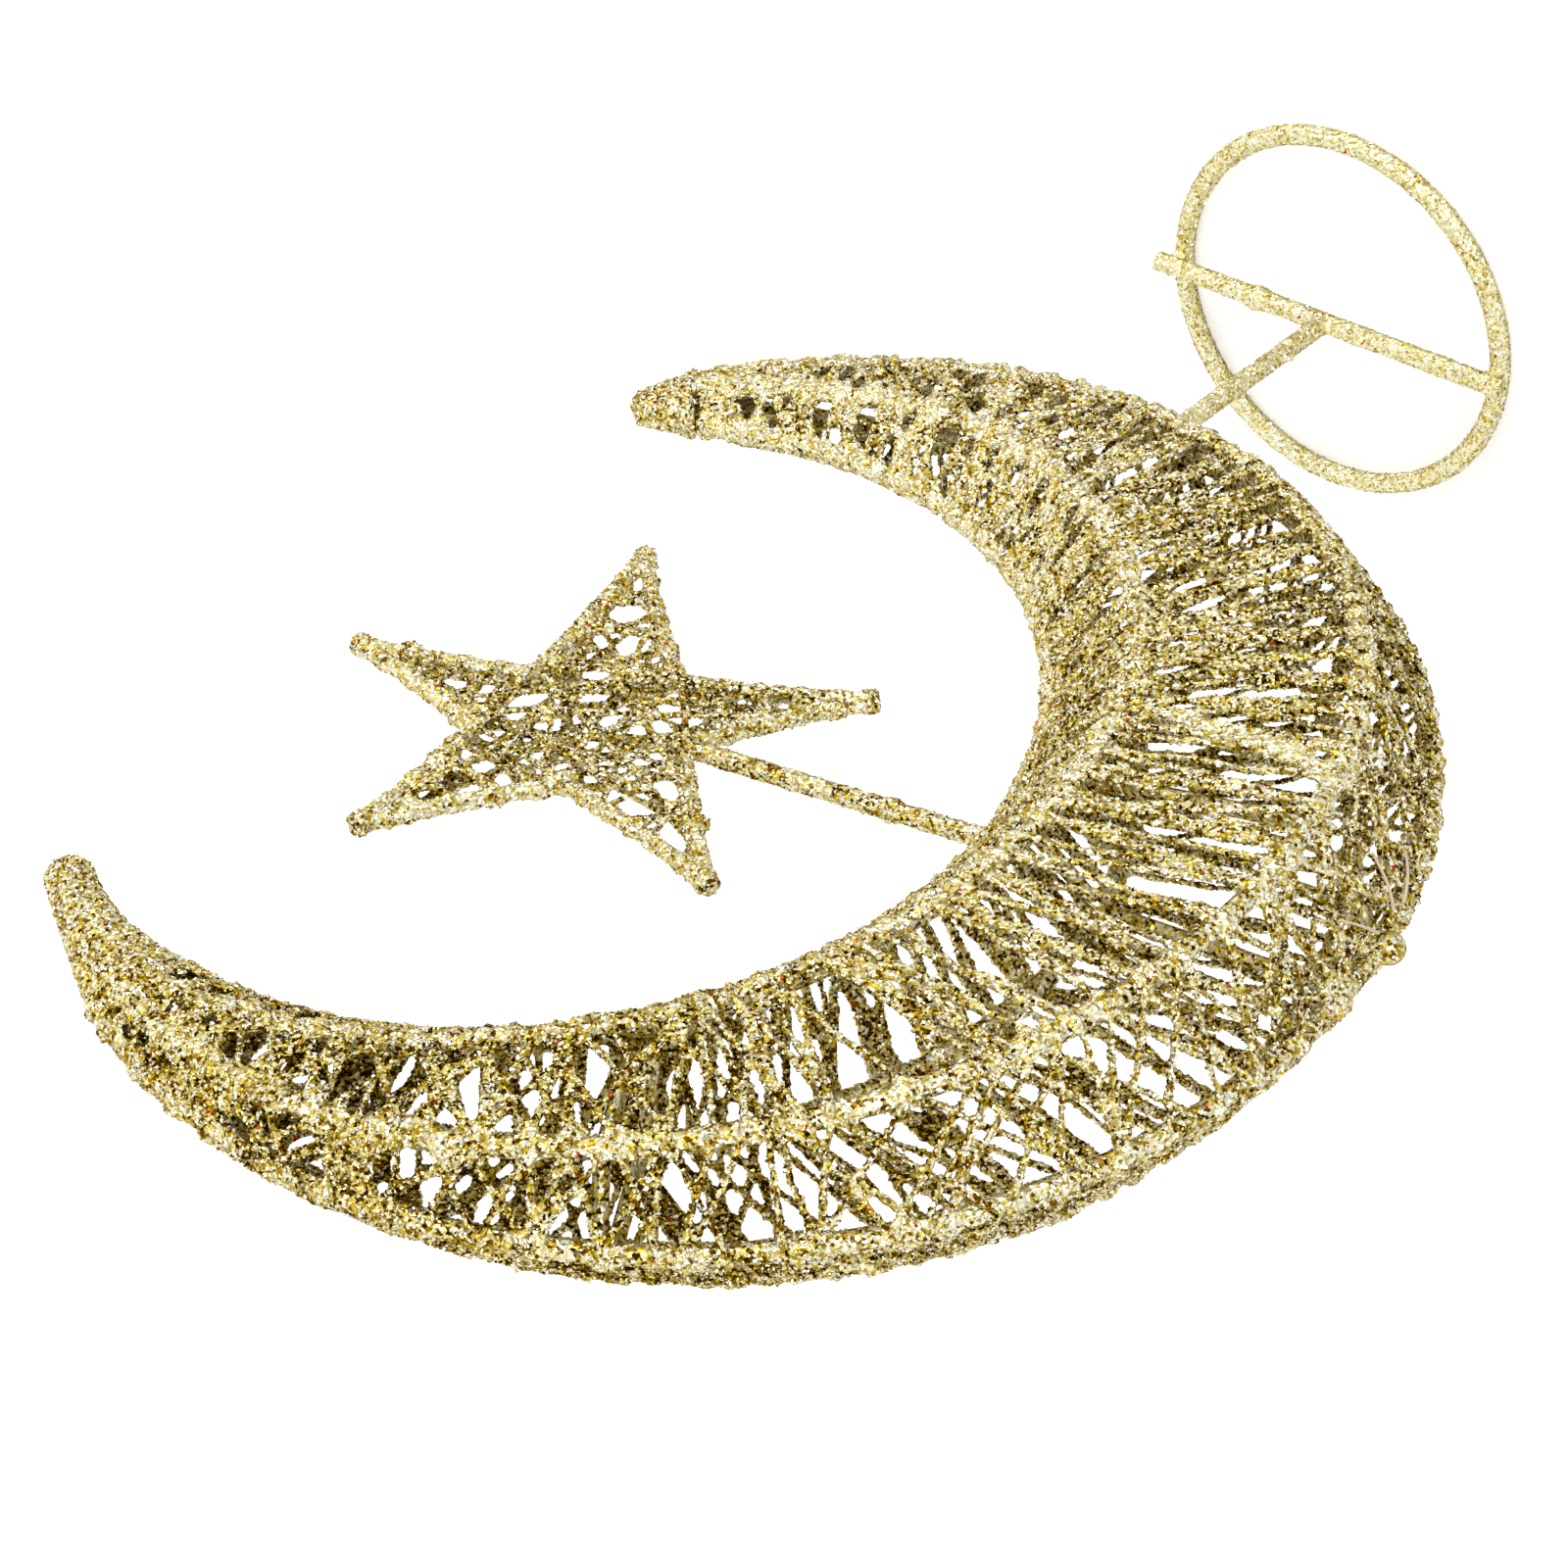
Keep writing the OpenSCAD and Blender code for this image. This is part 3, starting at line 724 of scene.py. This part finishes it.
def wire_paths(first, last, step=1.5):
    """The six wires from one angle to another"""
    count = max(2, round((last - first) / step))
    rows = [section(math.radians(first + (last - first) * i / count)) for i in range(count + 1)]
    return [[placed(math.radians(first + (last - first) * i / count), rows[i][w])
             for i in range(count + 1)] for w in range(6)]


# Horn tips: the CAD node, its side, the end's angle, the knob's radius and the turns of thread
HORN_TIPS = (
    ("upper_horn_tip", 1, UPPER_HORN_END + 0.02, 3.8 * MM, 18),
    ("lower_horn_tip", -1, LOWER_HORN_END, 2.8 * MM, 6),
)
TIP_STEPS = 24
TURN_STEPS = 24
CORE_SIDES = 20
# Thread on the wires where the binding begins, and how full the core and the turns are against
# the rings
TIP_SKIN = 0.3 * MM
CORE_SHARE = 0.9
BINDING_SHARE = 0.94


def tip_rings(side, end, knob):
    """The bound end of a horn as rings of angle, half widths and middle radius"""
    skin = CAGE_WIRE_R + TIP_SKIN
    depth = ridge_at(HORN_START, RIDGES[1])[1]
    rings = []
    for i in range(TIP_STEPS + 1):
        t = i / TIP_STEPS
        a = HORN_START + (end - HORN_START) * t
        w = RIM_R - bay_at(a)
        rings.append((side * a, (1 - t) * (w / 2 + skin) + t * knob,
                      (1 - t) * (depth + skin) + t * knob, RIM_R - w / 2))
    return rings


def tip_point(ring, turn, scale):
    """A point of a ring at a turn round the horn, drawn in by a scale"""
    a, wide, deep, radius = ring
    return placed(a, (radius + scale * wide * math.cos(turn), scale * deep * math.sin(turn)))


def tip_core(rings, name):
    """The gathered wires inside a horn's binding"""
    bm = bmesh.new()
    loops = []
    for ring in rings:
        made = bmesh.ops.create_circle(bm, segments=CORE_SIDES, radius=1)
        for i, vert in enumerate(made["verts"]):
            vert.co = tip_point(ring, math.tau * i / CORE_SIDES, CORE_SHARE)
        loops.append(made["verts"])
    edges = [[e for e in bm.edges if e.verts[0] in set(v) and e.verts[1] in set(v)] for v in loops]
    for near, far in zip(edges, edges[1:]):
        bmesh.ops.bridge_loops(bm, edges=near + far)
    bmesh.ops.holes_fill(bm, edges=edges[0] + edges[-1], sides=CORE_SIDES)
    bmesh.ops.recalc_face_normals(bm, faces=bm.faces)
    mesh = bpy.data.meshes.new(name)
    bm.to_mesh(mesh)
    bm.free()
    return mesh


def binding_runs(rng, rings, turns):
    """Close turns of thread round a horn's end, and some that cross them"""
    runs = []
    for count, slope in ((turns, 1), (turns // 2, -1)):
        run = []
        for step in range(count * TURN_STEPS + 1):
            t = step / (count * TURN_STEPS)
            at = t * (len(rings) - 1)
            if slope < 0:
                at = (len(rings) - 1) - at
            at = min(len(rings) - 1, max(0, at + rng.gauss(0, 0.1)))
            i = min(int(at), len(rings) - 2)
            ring = tuple(p + (q - p) * (at - i) for p, q in zip(rings[i], rings[i + 1]))
            run.append(tip_point(ring, slope * math.tau * step / TURN_STEPS, BINDING_SHARE))
        runs.append(run)
    return runs


# The star

# Corners of the hand-bent star, as distance from its middle in millimetres and angle
STAR_POINTS = ((43.4, 359.8), (43.9, 67.5), (46.3, 143.5), (46.6, 215.3), (48.8, 288.5))
STAR_NOTCHES = ((18.8, 36.1), (18.1, 109.7), (17.8, 183.9), (18.6, 243.3), (15.8, 333))
# The notch that the spoke ends in, and the steps along each edge
SPOKE_NOTCH = 2
EDGE_STEPS = 10
# Step from one turn of thread to the next on each point, as a share of its edge, and where the
# turns end and the close turn at the tip lies
STAR_PACES = (0.21, 0.21, 0.34, 0.2, 0.27)
LACED_TO = 0.85
TIP_TURN = 0.985
# Lines over the body: their count, the width that they spread over in millimetres, the share
# that spreads them evenly, and the angle from a line to its way back
BODY_LINES = 11
BODY_WIDTH = 23
GOLDEN = 0.618
BACK_TURN = 14
# Knobs on the points and the lump at the spoke: distances in millimetres or shares, and widths;
# lumps on two edges: point, edge, share of the edge and width
POINT_KNOB = ((-2.5, -0.5, 1, 2.4), (0.7, 1.0, 1.12, 0.95))
SPOKE_LUMP = ((0.88, 1.0, 1.16), (0.9, 1.15, 0.85))
EDGE_LUMPS = ((2, 0, 0.34, 0.95), (0, 1, 0.24, 0.75))
STAR_NUB_R = 2.1 * MM


def star_placed(x, y, z):
    """A point of the star's flat frame on the standing ornament"""
    turn = (Matrix.Translation((0, 0, CENTRE_Z)) @ Matrix.Rotation(-LEAN, 4, "Y")
            @ Matrix.Translation((STAR_SHIFT, STAR_BACK, STAR_LIFT))
            @ Matrix.Rotation(-STAR_SWING, 4, "Z") @ Matrix.Rotation(STAR_TIP_LEAN, 4, "X")
            @ Matrix.Rotation(math.pi / 2, 4, "X"))
    return turn @ Vector((x, y, z))


def star_corner(corner, side=0.0):
    """A corner of the star, moved sideways where its wire has two close bends"""
    radius, degrees = corner
    a = math.radians(degrees)
    return Vector((radius * MM * math.cos(a) - side * math.sin(a),
                   radius * MM * math.sin(a) + side * math.cos(a)))


def edge_at(edge, share, inside):
    """A point of an edge, which the tight thread has drawn in, and the way out of the star"""
    p = edge[0].lerp(edge[1], share)
    out = Vector((-(edge[1] - edge[0]).y, (edge[1] - edge[0]).x)).normalized()
    if out.dot(inside - p) > 0:
        out = -out
    return p - out * EDGE_SAG * math.sin(math.pi * share ** 0.8), out


def star_outline():
    """The outline's points in order, each point of the star with its two close bends"""
    out = []
    middle = Vector((0, 0))
    edges = star_edges()
    for i in range(5):
        out += [edge_at(edges[i][0], k / EDGE_STEPS, middle)[0] for k in range(EDGE_STEPS + 1)]
        out += [edge_at(edges[(i + 1) % 5][1], 1 - k / EDGE_STEPS, middle)[0]
                for k in range(1, EDGE_STEPS + 1)]
    return out


def star_edges():
    """For each point its two edges, each from the point to a notch"""
    return [((star_corner(STAR_POINTS[i], PINCH), star_corner(STAR_NOTCHES[i])),
             (star_corner(STAR_POINTS[i], -PINCH), star_corner(STAR_NOTCHES[i - 1])))
            for i in range(5)]


def over_edge(edge, share, reach, front, other):
    """The points where a thread bends over an outline wire, from its one face to the other"""
    p, out = edge_at(edge, share, other)
    points = []
    for degrees in (0, 60, 120, 180):
        a = math.radians(degrees)
        q = p + out * reach * math.sin(a)
        points.append(star_placed(q.x, q.y, reach * math.cos(a) * front))
    return points


def across(edges, degrees, offset):
    """Where a line over the star's body meets the outline, as the two edges and shares"""
    along = star_corner((1, degrees)).normalized()
    side = Vector((-along.y, along.x))
    met = []
    caps = [(star_corner(point, -PINCH), star_corner(point, PINCH)) for point in STAR_POINTS]
    for edge in [e for pair in edges for e in pair] + caps:
        p, q = edge[0].dot(side) - offset, edge[1].dot(side) - offset
        if p * q < 0:
            share = p / (p - q)
            met.append((edge[0].lerp(edge[1], share).dot(along), edge, share))
    met.sort(key=lambda m: m[0])
    back, ahead = min(zip(met[::2], met[1::2]), key=lambda m: abs(m[0][0] + m[1][0]))
    return back[1:], ahead[1:]


def lacing(rng, pairs):
    """A thread laced from edge to edge of the star, over the front and back by turns"""
    points = []
    front = 1
    for (first, near), (second, far) in pairs:
        reach = STAR_WIRE_R + rng.uniform(-0.25, 0.15) * MM
        a = first[0].lerp(first[1], near)
        b = second[0].lerp(second[1], far)
        points.extend(over_edge(first, near, reach, front, b))
        points.extend(over_edge(second, far, reach, -front, a))
    return points


def star_laces(rng, edges):
    """Threads laced over the points both ways, a close turn at each tip, and the body's lines"""
    laces = []
    for (left, right), pace in zip(edges, STAR_PACES):
        for near, far in ((left, right), (right, left)):
            pairs = []
            at = rng.uniform(0.12, 0.22)
            while at < LACED_TO:
                pairs.append(((near, at), (far, min(0.97, at + rng.uniform(0.14, 0.24)))))
                at += rng.uniform(0.85, 1.15) * pace
            laces.append(lacing(rng, pairs))
        laces.append(lacing(rng, [((left, TIP_TURN), (right, TIP_TURN))] * 2))
    for i in range(BODY_LINES):
        offset = (i * GOLDEN % 1 - 0.5) * BODY_WIDTH * MM
        degrees = 180 * i / BODY_LINES + rng.uniform(-6, 6)
        laces.append(lacing(rng, [
            across(edges, degrees, offset),
            across(edges, degrees + BACK_TURN, offset + rng.uniform(0, 2) * MM)]))
    return laces


def star_nubs(edges):
    """Knobs on the points, lumps on two edges and the lump that holds the spoke"""
    nubs = []
    steps, widths = POINT_KNOB
    for radius, degrees in STAR_POINTS:
        knots = [star_corner((radius + out, degrees)) for out in steps]
        nubs.append(([star_placed(p.x, p.y, 0) for p in knots], widths))
    for point, which, share, size in EDGE_LUMPS:
        edge = edges[point][which]
        ends = [edge[0].lerp(edge[1], at) for at in (share, share + 0.04)]
        nubs.append(([star_placed(p.x, p.y, 0.9 * MM) for p in ends], [size, size]))
    joint = star_corner(STAR_NOTCHES[SPOKE_NOTCH])
    shares, widths = SPOKE_LUMP
    nubs.append(([star_placed(*(joint * k), 0) for k in shares], widths))
    return nubs


# Stage and foot

# Lamps: name, place, size and share of the key power
LAMPS = (
    ("key_lamp", (-0.2, -1.4, 0.5), 0.5, 1.0),
    ("top_lamp", (-0.5, -0.3, 1.6), 0.6, 0.7),
    ("side_lamp", (1.2, -0.9, 0.5), 0.5, 0.65),
)
LAMP_AIM = Vector((0, 0, 0.16))
# The camera's place, the ways to its right and behind it, and its lens and sensor
CAMERA_PLACE = Vector((-305.1, -330.0, 449.9)) * MM
CAMERA_RIGHT = Vector((-0.732, 0.074, -0.6773))
CAMERA_BACK = Vector((-0.5603, -0.631, 0.5365))
LENS_MM = 75.43
SENSOR_MM = 36
# The foot's ring is drawn in and raised a little, so that its flakes stay inside the real size
RING_INSET = 0.14 * MM
RING_LIFT = 0.12 * MM
RING_SLIMMER = 0.02 * MM
# A burr on the stem
BURR_R = 0.9 * MM
BURR = (Vector((-STEM_R, 0, 20 * MM)), Vector((-STEM_R - 0.9 * MM, 0, 20.3 * MM)))


def white_floor(mesh):
    """Gives the floor its pale, plain finish, which keeps the object's shadow"""
    material, tree = new_material("white_floor")
    rays = node(tree, "ShaderNodeLightPath")
    sheet = node(tree, "ShaderNodeBsdfDiffuse", {}, {"Color": (0.93, 0.93, 0.93, 1)})
    glow = node(tree, "ShaderNodeEmission", {}, {"Color": (1, 1, 1, 1), "Strength": 1.0})
    both = node(tree, "ShaderNodeAddShader", {}, {0: sheet["BSDF"], 1: glow["Emission"]})
    half = node(tree, "ShaderNodeMixShader", {},
                {0: rays["Is Camera Ray"] * 0.5, 1: sheet["BSDF"], 2: both["Shader"]})
    node(tree, "ShaderNodeOutputMaterial", {}, {"Surface": half["Shader"]})
    mesh.materials.append(material)


def white_room(world, light):
    """A white background that lights the object less than the camera sees it"""
    world.use_nodes = True
    tree = world.node_tree
    tree.nodes.clear()
    rays = node(tree, "ShaderNodeLightPath")
    seen = rays["Is Camera Ray"] + rays["Is Glossy Ray"] + rays["Is Transmission Ray"]
    strength = seen * (1 - light) + light
    sky = node(tree, "ShaderNodeBackground", {}, {"Color": (1, 1, 1, 1), "Strength": strength})
    node(tree, "ShaderNodeOutputWorld", {}, {"Surface": sky["Background"]})


# Operators

class ORNAMENT_OT_stage(bpy.types.Operator):
    """Floor, lamps, room and camera"""
    bl_idname = "ornament.stage"
    bl_label = "Stage"

    def execute(self, context):
        sizes = context.scene.ornament_stage
        scene = context.scene
        scene.view_settings.view_transform = "Standard"
        bm = bmesh.new()
        bmesh.ops.create_grid(bm, x_segments=1, y_segments=1, size=sizes.floor_size / 2)
        mesh = bpy.data.meshes.new("floor")
        bm.to_mesh(mesh)
        bm.free()
        floor = bpy.data.objects.new("floor", mesh)
        scene.collection.objects.link(floor)
        white_floor(mesh)
        scene.world = bpy.data.worlds.new("white_room")
        white_room(scene.world, sizes.world_strength)

        for name, place, size, share in LAMPS:
            lamp = bpy.data.lights.new(name, "AREA")
            lamp.size = size
            lamp.energy = sizes.key_power * share
            holder = bpy.data.objects.new(name, lamp)
            holder.location = place
            aim = LAMP_AIM - Vector(place)
            holder.rotation_euler = aim.to_track_quat("-Z", "Y").to_euler()
            scene.collection.objects.link(holder)

        lens = bpy.data.cameras.new("camera")
        lens.lens = LENS_MM
        lens.sensor_width = SENSOR_MM
        camera = bpy.data.objects.new("camera", lens)
        right = CAMERA_RIGHT.normalized()
        back = (CAMERA_BACK - right * CAMERA_BACK.dot(right)).normalized()
        up = back.cross(right)
        turn = Matrix((right, up, back)).transposed().to_4x4()
        camera.matrix_world = Matrix.Translation(CAMERA_PLACE) @ turn
        scene.collection.objects.link(camera)
        scene.camera = camera
        return {"FINISHED"}


class ORNAMENT_OT_foot(bpy.types.Operator):
    """Ring foot, crossbar, stem and spoke under their glitter"""
    bl_idname = "ornament.foot"
    bl_label = "Foot, stem and spoke"

    def execute(self, context):
        rng = random.Random(100)
        ring_r = FOOT_R - RING_INSET
        ring = [Vector((ring_r * math.cos(a), ring_r * math.sin(a), FOOT_WIRE_R + RING_LIFT))
                for a in (math.tau * i / 120 for i in range(120))]
        bar = resampled([Vector((-BAR_REACH, 0, BAR_Z)), Vector((BAR_REACH, 0, BAR_Z))], 2 * MM)
        stem = resampled([Vector((0, 0, BAR_Z)),
                          Vector((0, 0, CENTRE_Z - RIM_R - CAGE_WIRE_R))], 2 * MM)
        meshes = [
            tubes("ring", [(ring, [1.0] * len(ring))], FOOT_WIRE_R - RING_SLIMMER, True),
            tubes("bar", [(bar, thickness(bar, rng, 0.94, 1.06))], FOOT_WIRE_R),
            tubes("burr", [(BURR, (1.0, 0.6))], BURR_R),
            tubes("stem", [(stem, thickness(stem, rng, 0.94, 1.06))], STEM_R)]
        crusted_piece("foot", meshes, "foot_glitter", 50,
                      ("foot_ring", "foot_crossbar", "stem"), crust=0.6)
        foot = placed(SPOKE_ANGLE, (bay_at(SPOKE_ANGLE), 0))
        notch = star_corner(STAR_NOTCHES[SPOKE_NOTCH])
        spoke = resampled([foot, star_placed(notch.x, notch.y, 0)], 2 * MM)
        meshes = [tubes("spoke", [(spoke, thickness(spoke, rng, 0.94, 1.06))], SPOKE_R)]
        crusted_piece("spoke", meshes, "lighter_glitter", 51, ("star_spoke",), crust=0.7)
        return {"FINISHED"}


class ORNAMENT_OT_cage(bpy.types.Operator):
    """Glitter coat of the cage's own wires, inside the threads"""
    bl_idname = "ornament.cage"
    bl_label = "Cage wires"

    def execute(self, context):
        for name in ("outer_rim", "inner_rim", "front_inner_ridge", "back_inner_ridge",
                     "front_outer_ridge", "back_outer_ridge", "upper_rib", "middle_rib",
                     "lower_rib"):
            for place in CAD_NODES[name].material_slots:
                place.material = finish("wire_glitter")
        return {"FINISHED"}


class ORNAMENT_OT_windings(bpy.types.Operator):
    """Threads wound over the crescent's cage"""
    bl_idname = "ornament.windings"
    bl_label = "Crescent windings"

    def execute(self, context):
        sizes = context.scene.ornament
        for seed, (name, cad, angles, loops, layers, wander, pull, gap, web) in enumerate(SECTORS):
            rng = random.Random(200 + seed)
            web *= MM
            grips = [nests(rng, math.radians(angles[0] - 15), math.radians(angles[1] + 15),
                           math.radians(gap * share)) for share in NEST_SHARES]
            runs = []
            for layer, slants in enumerate(layers):
                ends = [math.radians(a) for a in (angles if layer == 0 else angles[::-1])]
                path = winding(rng, grips, ends, loops, [math.radians(s) for s in slants],
                               math.radians(wander), pull)
                path = strung(path, rng, sizes.sway)
                runs.append((path, thickness(path, rng)))
            meshes = [tubes(name, runs, sizes.thread_radius, web=web)]
            wires = wire_paths(*angles)
            holds_knob = math.radians(angles[0]) < KNOB_ANGLE < math.radians(angles[1])
            if holds_knob:
                wires.append(resampled([placed(a, section(a)[w])
                                        for a, w in zip(RIB_ENDS, (1, 2))], 1 * MM))
            crust = [(path, thickness(path, rng, 0.92, 1.12)) for path in wires]
            meshes.append(tubes(name, crust, CAGE_WIRE_R + 0.15 * MM, web=web))
            if holds_knob:
                knob = [placed(KNOB_ANGLE, (RIM_R + out, 0)) for out in KNOB_STEPS]
                meshes.append(tubes(name, [(knob, (0.9, 1.0, 0.8))], KNOB_R, web=web))
            # Sectors not listed take the lighter coat, which is partly painted light where the
            # light falls
            crusted_piece(name + "_threads", meshes, COATS.get(name, "lighter_glitter"),
                          10 + seed, (cad,), wires=wires, web=web)
        return {"FINISHED"}


class ORNAMENT_OT_loose_ends(bpy.types.Operator):
    """Bare thread ends beside the rim's knob, where the glitter has come off"""
    bl_idname = "ornament.loose_ends"
    bl_label = "Loose ends"

    def execute(self, context):
        runs = []
        for start, end in LOOSE_ENDS:
            path = []
            for i in range(LOOSE_STEPS + 1):
                t = i / LOOSE_STEPS
                a = math.radians(start[0] + (end[0] - start[0]) * t)
                share = start[1] + (end[1] - start[1]) * t
                s = section(a)
                out = side_normal(s[2], s[3])
                path.append(placed(a, s[2].lerp(s[3], share) + out * (2.9 + 0.5 * math.sin(
                    math.pi * t)) * MM))
            runs.append((path, [1.0 - 0.4 * i / LOOSE_STEPS for i in range(LOOSE_STEPS + 1)]))
        add_piece("loose_ends", tubes("loose_ends", runs, 0.3 * MM, web=0), "bare_thread")
        return {"FINISHED"}


class ORNAMENT_OT_horn_tips(bpy.types.Operator):
    """Bound ends of the two horns"""
    bl_idname = "ornament.horn_tips"
    bl_label = "Horn tips"

    def execute(self, context):
        sizes = context.scene.ornament
        for seed, (cad, side, end, knob, turns) in enumerate(HORN_TIPS):
            rng = random.Random(300 + seed)
            name = cad.replace("tip", "binding")
            rings = tip_rings(side, end, knob)
            runs = [(run, thickness(run, rng))
                    for run in (resampled(r, 1 * MM) for r in binding_runs(rng, rings, turns))]
            meshes = [tubes(name, runs, sizes.thread_radius), tip_core(rings, name)]
            crusted_piece(name, meshes, "lighter_glitter", 30 + seed, (cad,))
        return {"FINISHED"}


class ORNAMENT_OT_star(bpy.types.Operator):
    """The star's outline and the threads laced over it"""
    bl_idname = "ornament.star"
    bl_label = "Star"

    def execute(self, context):
        sizes = context.scene.ornament
        rng = random.Random(400)
        edges = star_edges()
        runs = []
        for lace in star_laces(rng, edges):
            path = strung(lace, rng, sizes.sway * 0.5)
            runs.append((path, thickness(path, rng)))
        outline = [star_placed(p.x, p.y, 0) for p in star_outline()]
        outline = resampled(outline + outline[:1], 1.5 * MM)[:-1]
        meshes = [
            tubes("star_threads", runs, sizes.thread_radius * 0.92),
            tubes("star_outline", [(outline, thickness(outline, rng, 0.92, 1.12))],
                  STAR_WIRE_R, True),
            tubes("star_nubs", star_nubs(edges), STAR_NUB_R)]
        crusted_piece("wound_star", meshes, "thread_glitter", 40, (
            "star_frame", "star_body_winding", "star_point_winding", "star_upper_winding",
            "star_lower_winding"), wires=[outline], cling=2.6 * MM)
        return {"FINISHED"}


class ORNAMENT_PT_panel(bpy.types.Panel):
    """Lists the ornament's pieces"""
    bl_idname = "ORNAMENT_PT_panel"
    bl_label = "Ornament"
    bl_space_type = "VIEW_3D"
    bl_region_type = "UI"
    bl_category = "Ornament"

    def draw(self, context):
        for step in STEPS:
            self.layout.operator(step.bl_idname)
        for name in OrnamentSettings.__annotations__:
            self.layout.prop(context.scene.ornament, name)


STEPS = (ORNAMENT_OT_stage, ORNAMENT_OT_foot, ORNAMENT_OT_cage, ORNAMENT_OT_windings,
         ORNAMENT_OT_loose_ends, ORNAMENT_OT_horn_tips, ORNAMENT_OT_star)
CLASSES = (OrnamentSettings, StageSettings, *STEPS, ORNAMENT_PT_panel)


def register():
    for cls in CLASSES:
        bpy.utils.register_class(cls)
    bpy.types.Scene.ornament = bpy.props.PointerProperty(type=OrnamentSettings)
    bpy.types.Scene.ornament_stage = bpy.props.PointerProperty(type=StageSettings)


def unregister():
    del bpy.types.Scene.ornament_stage
    del bpy.types.Scene.ornament
    for cls in reversed(CLASSES):
        bpy.utils.unregister_class(cls)


def main():
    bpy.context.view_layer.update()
    register()
    for step in STEPS:
        space, name = step.bl_idname.split(".")
        getattr(getattr(bpy.ops, space), name)()


if __name__ == "__main__":
    main()
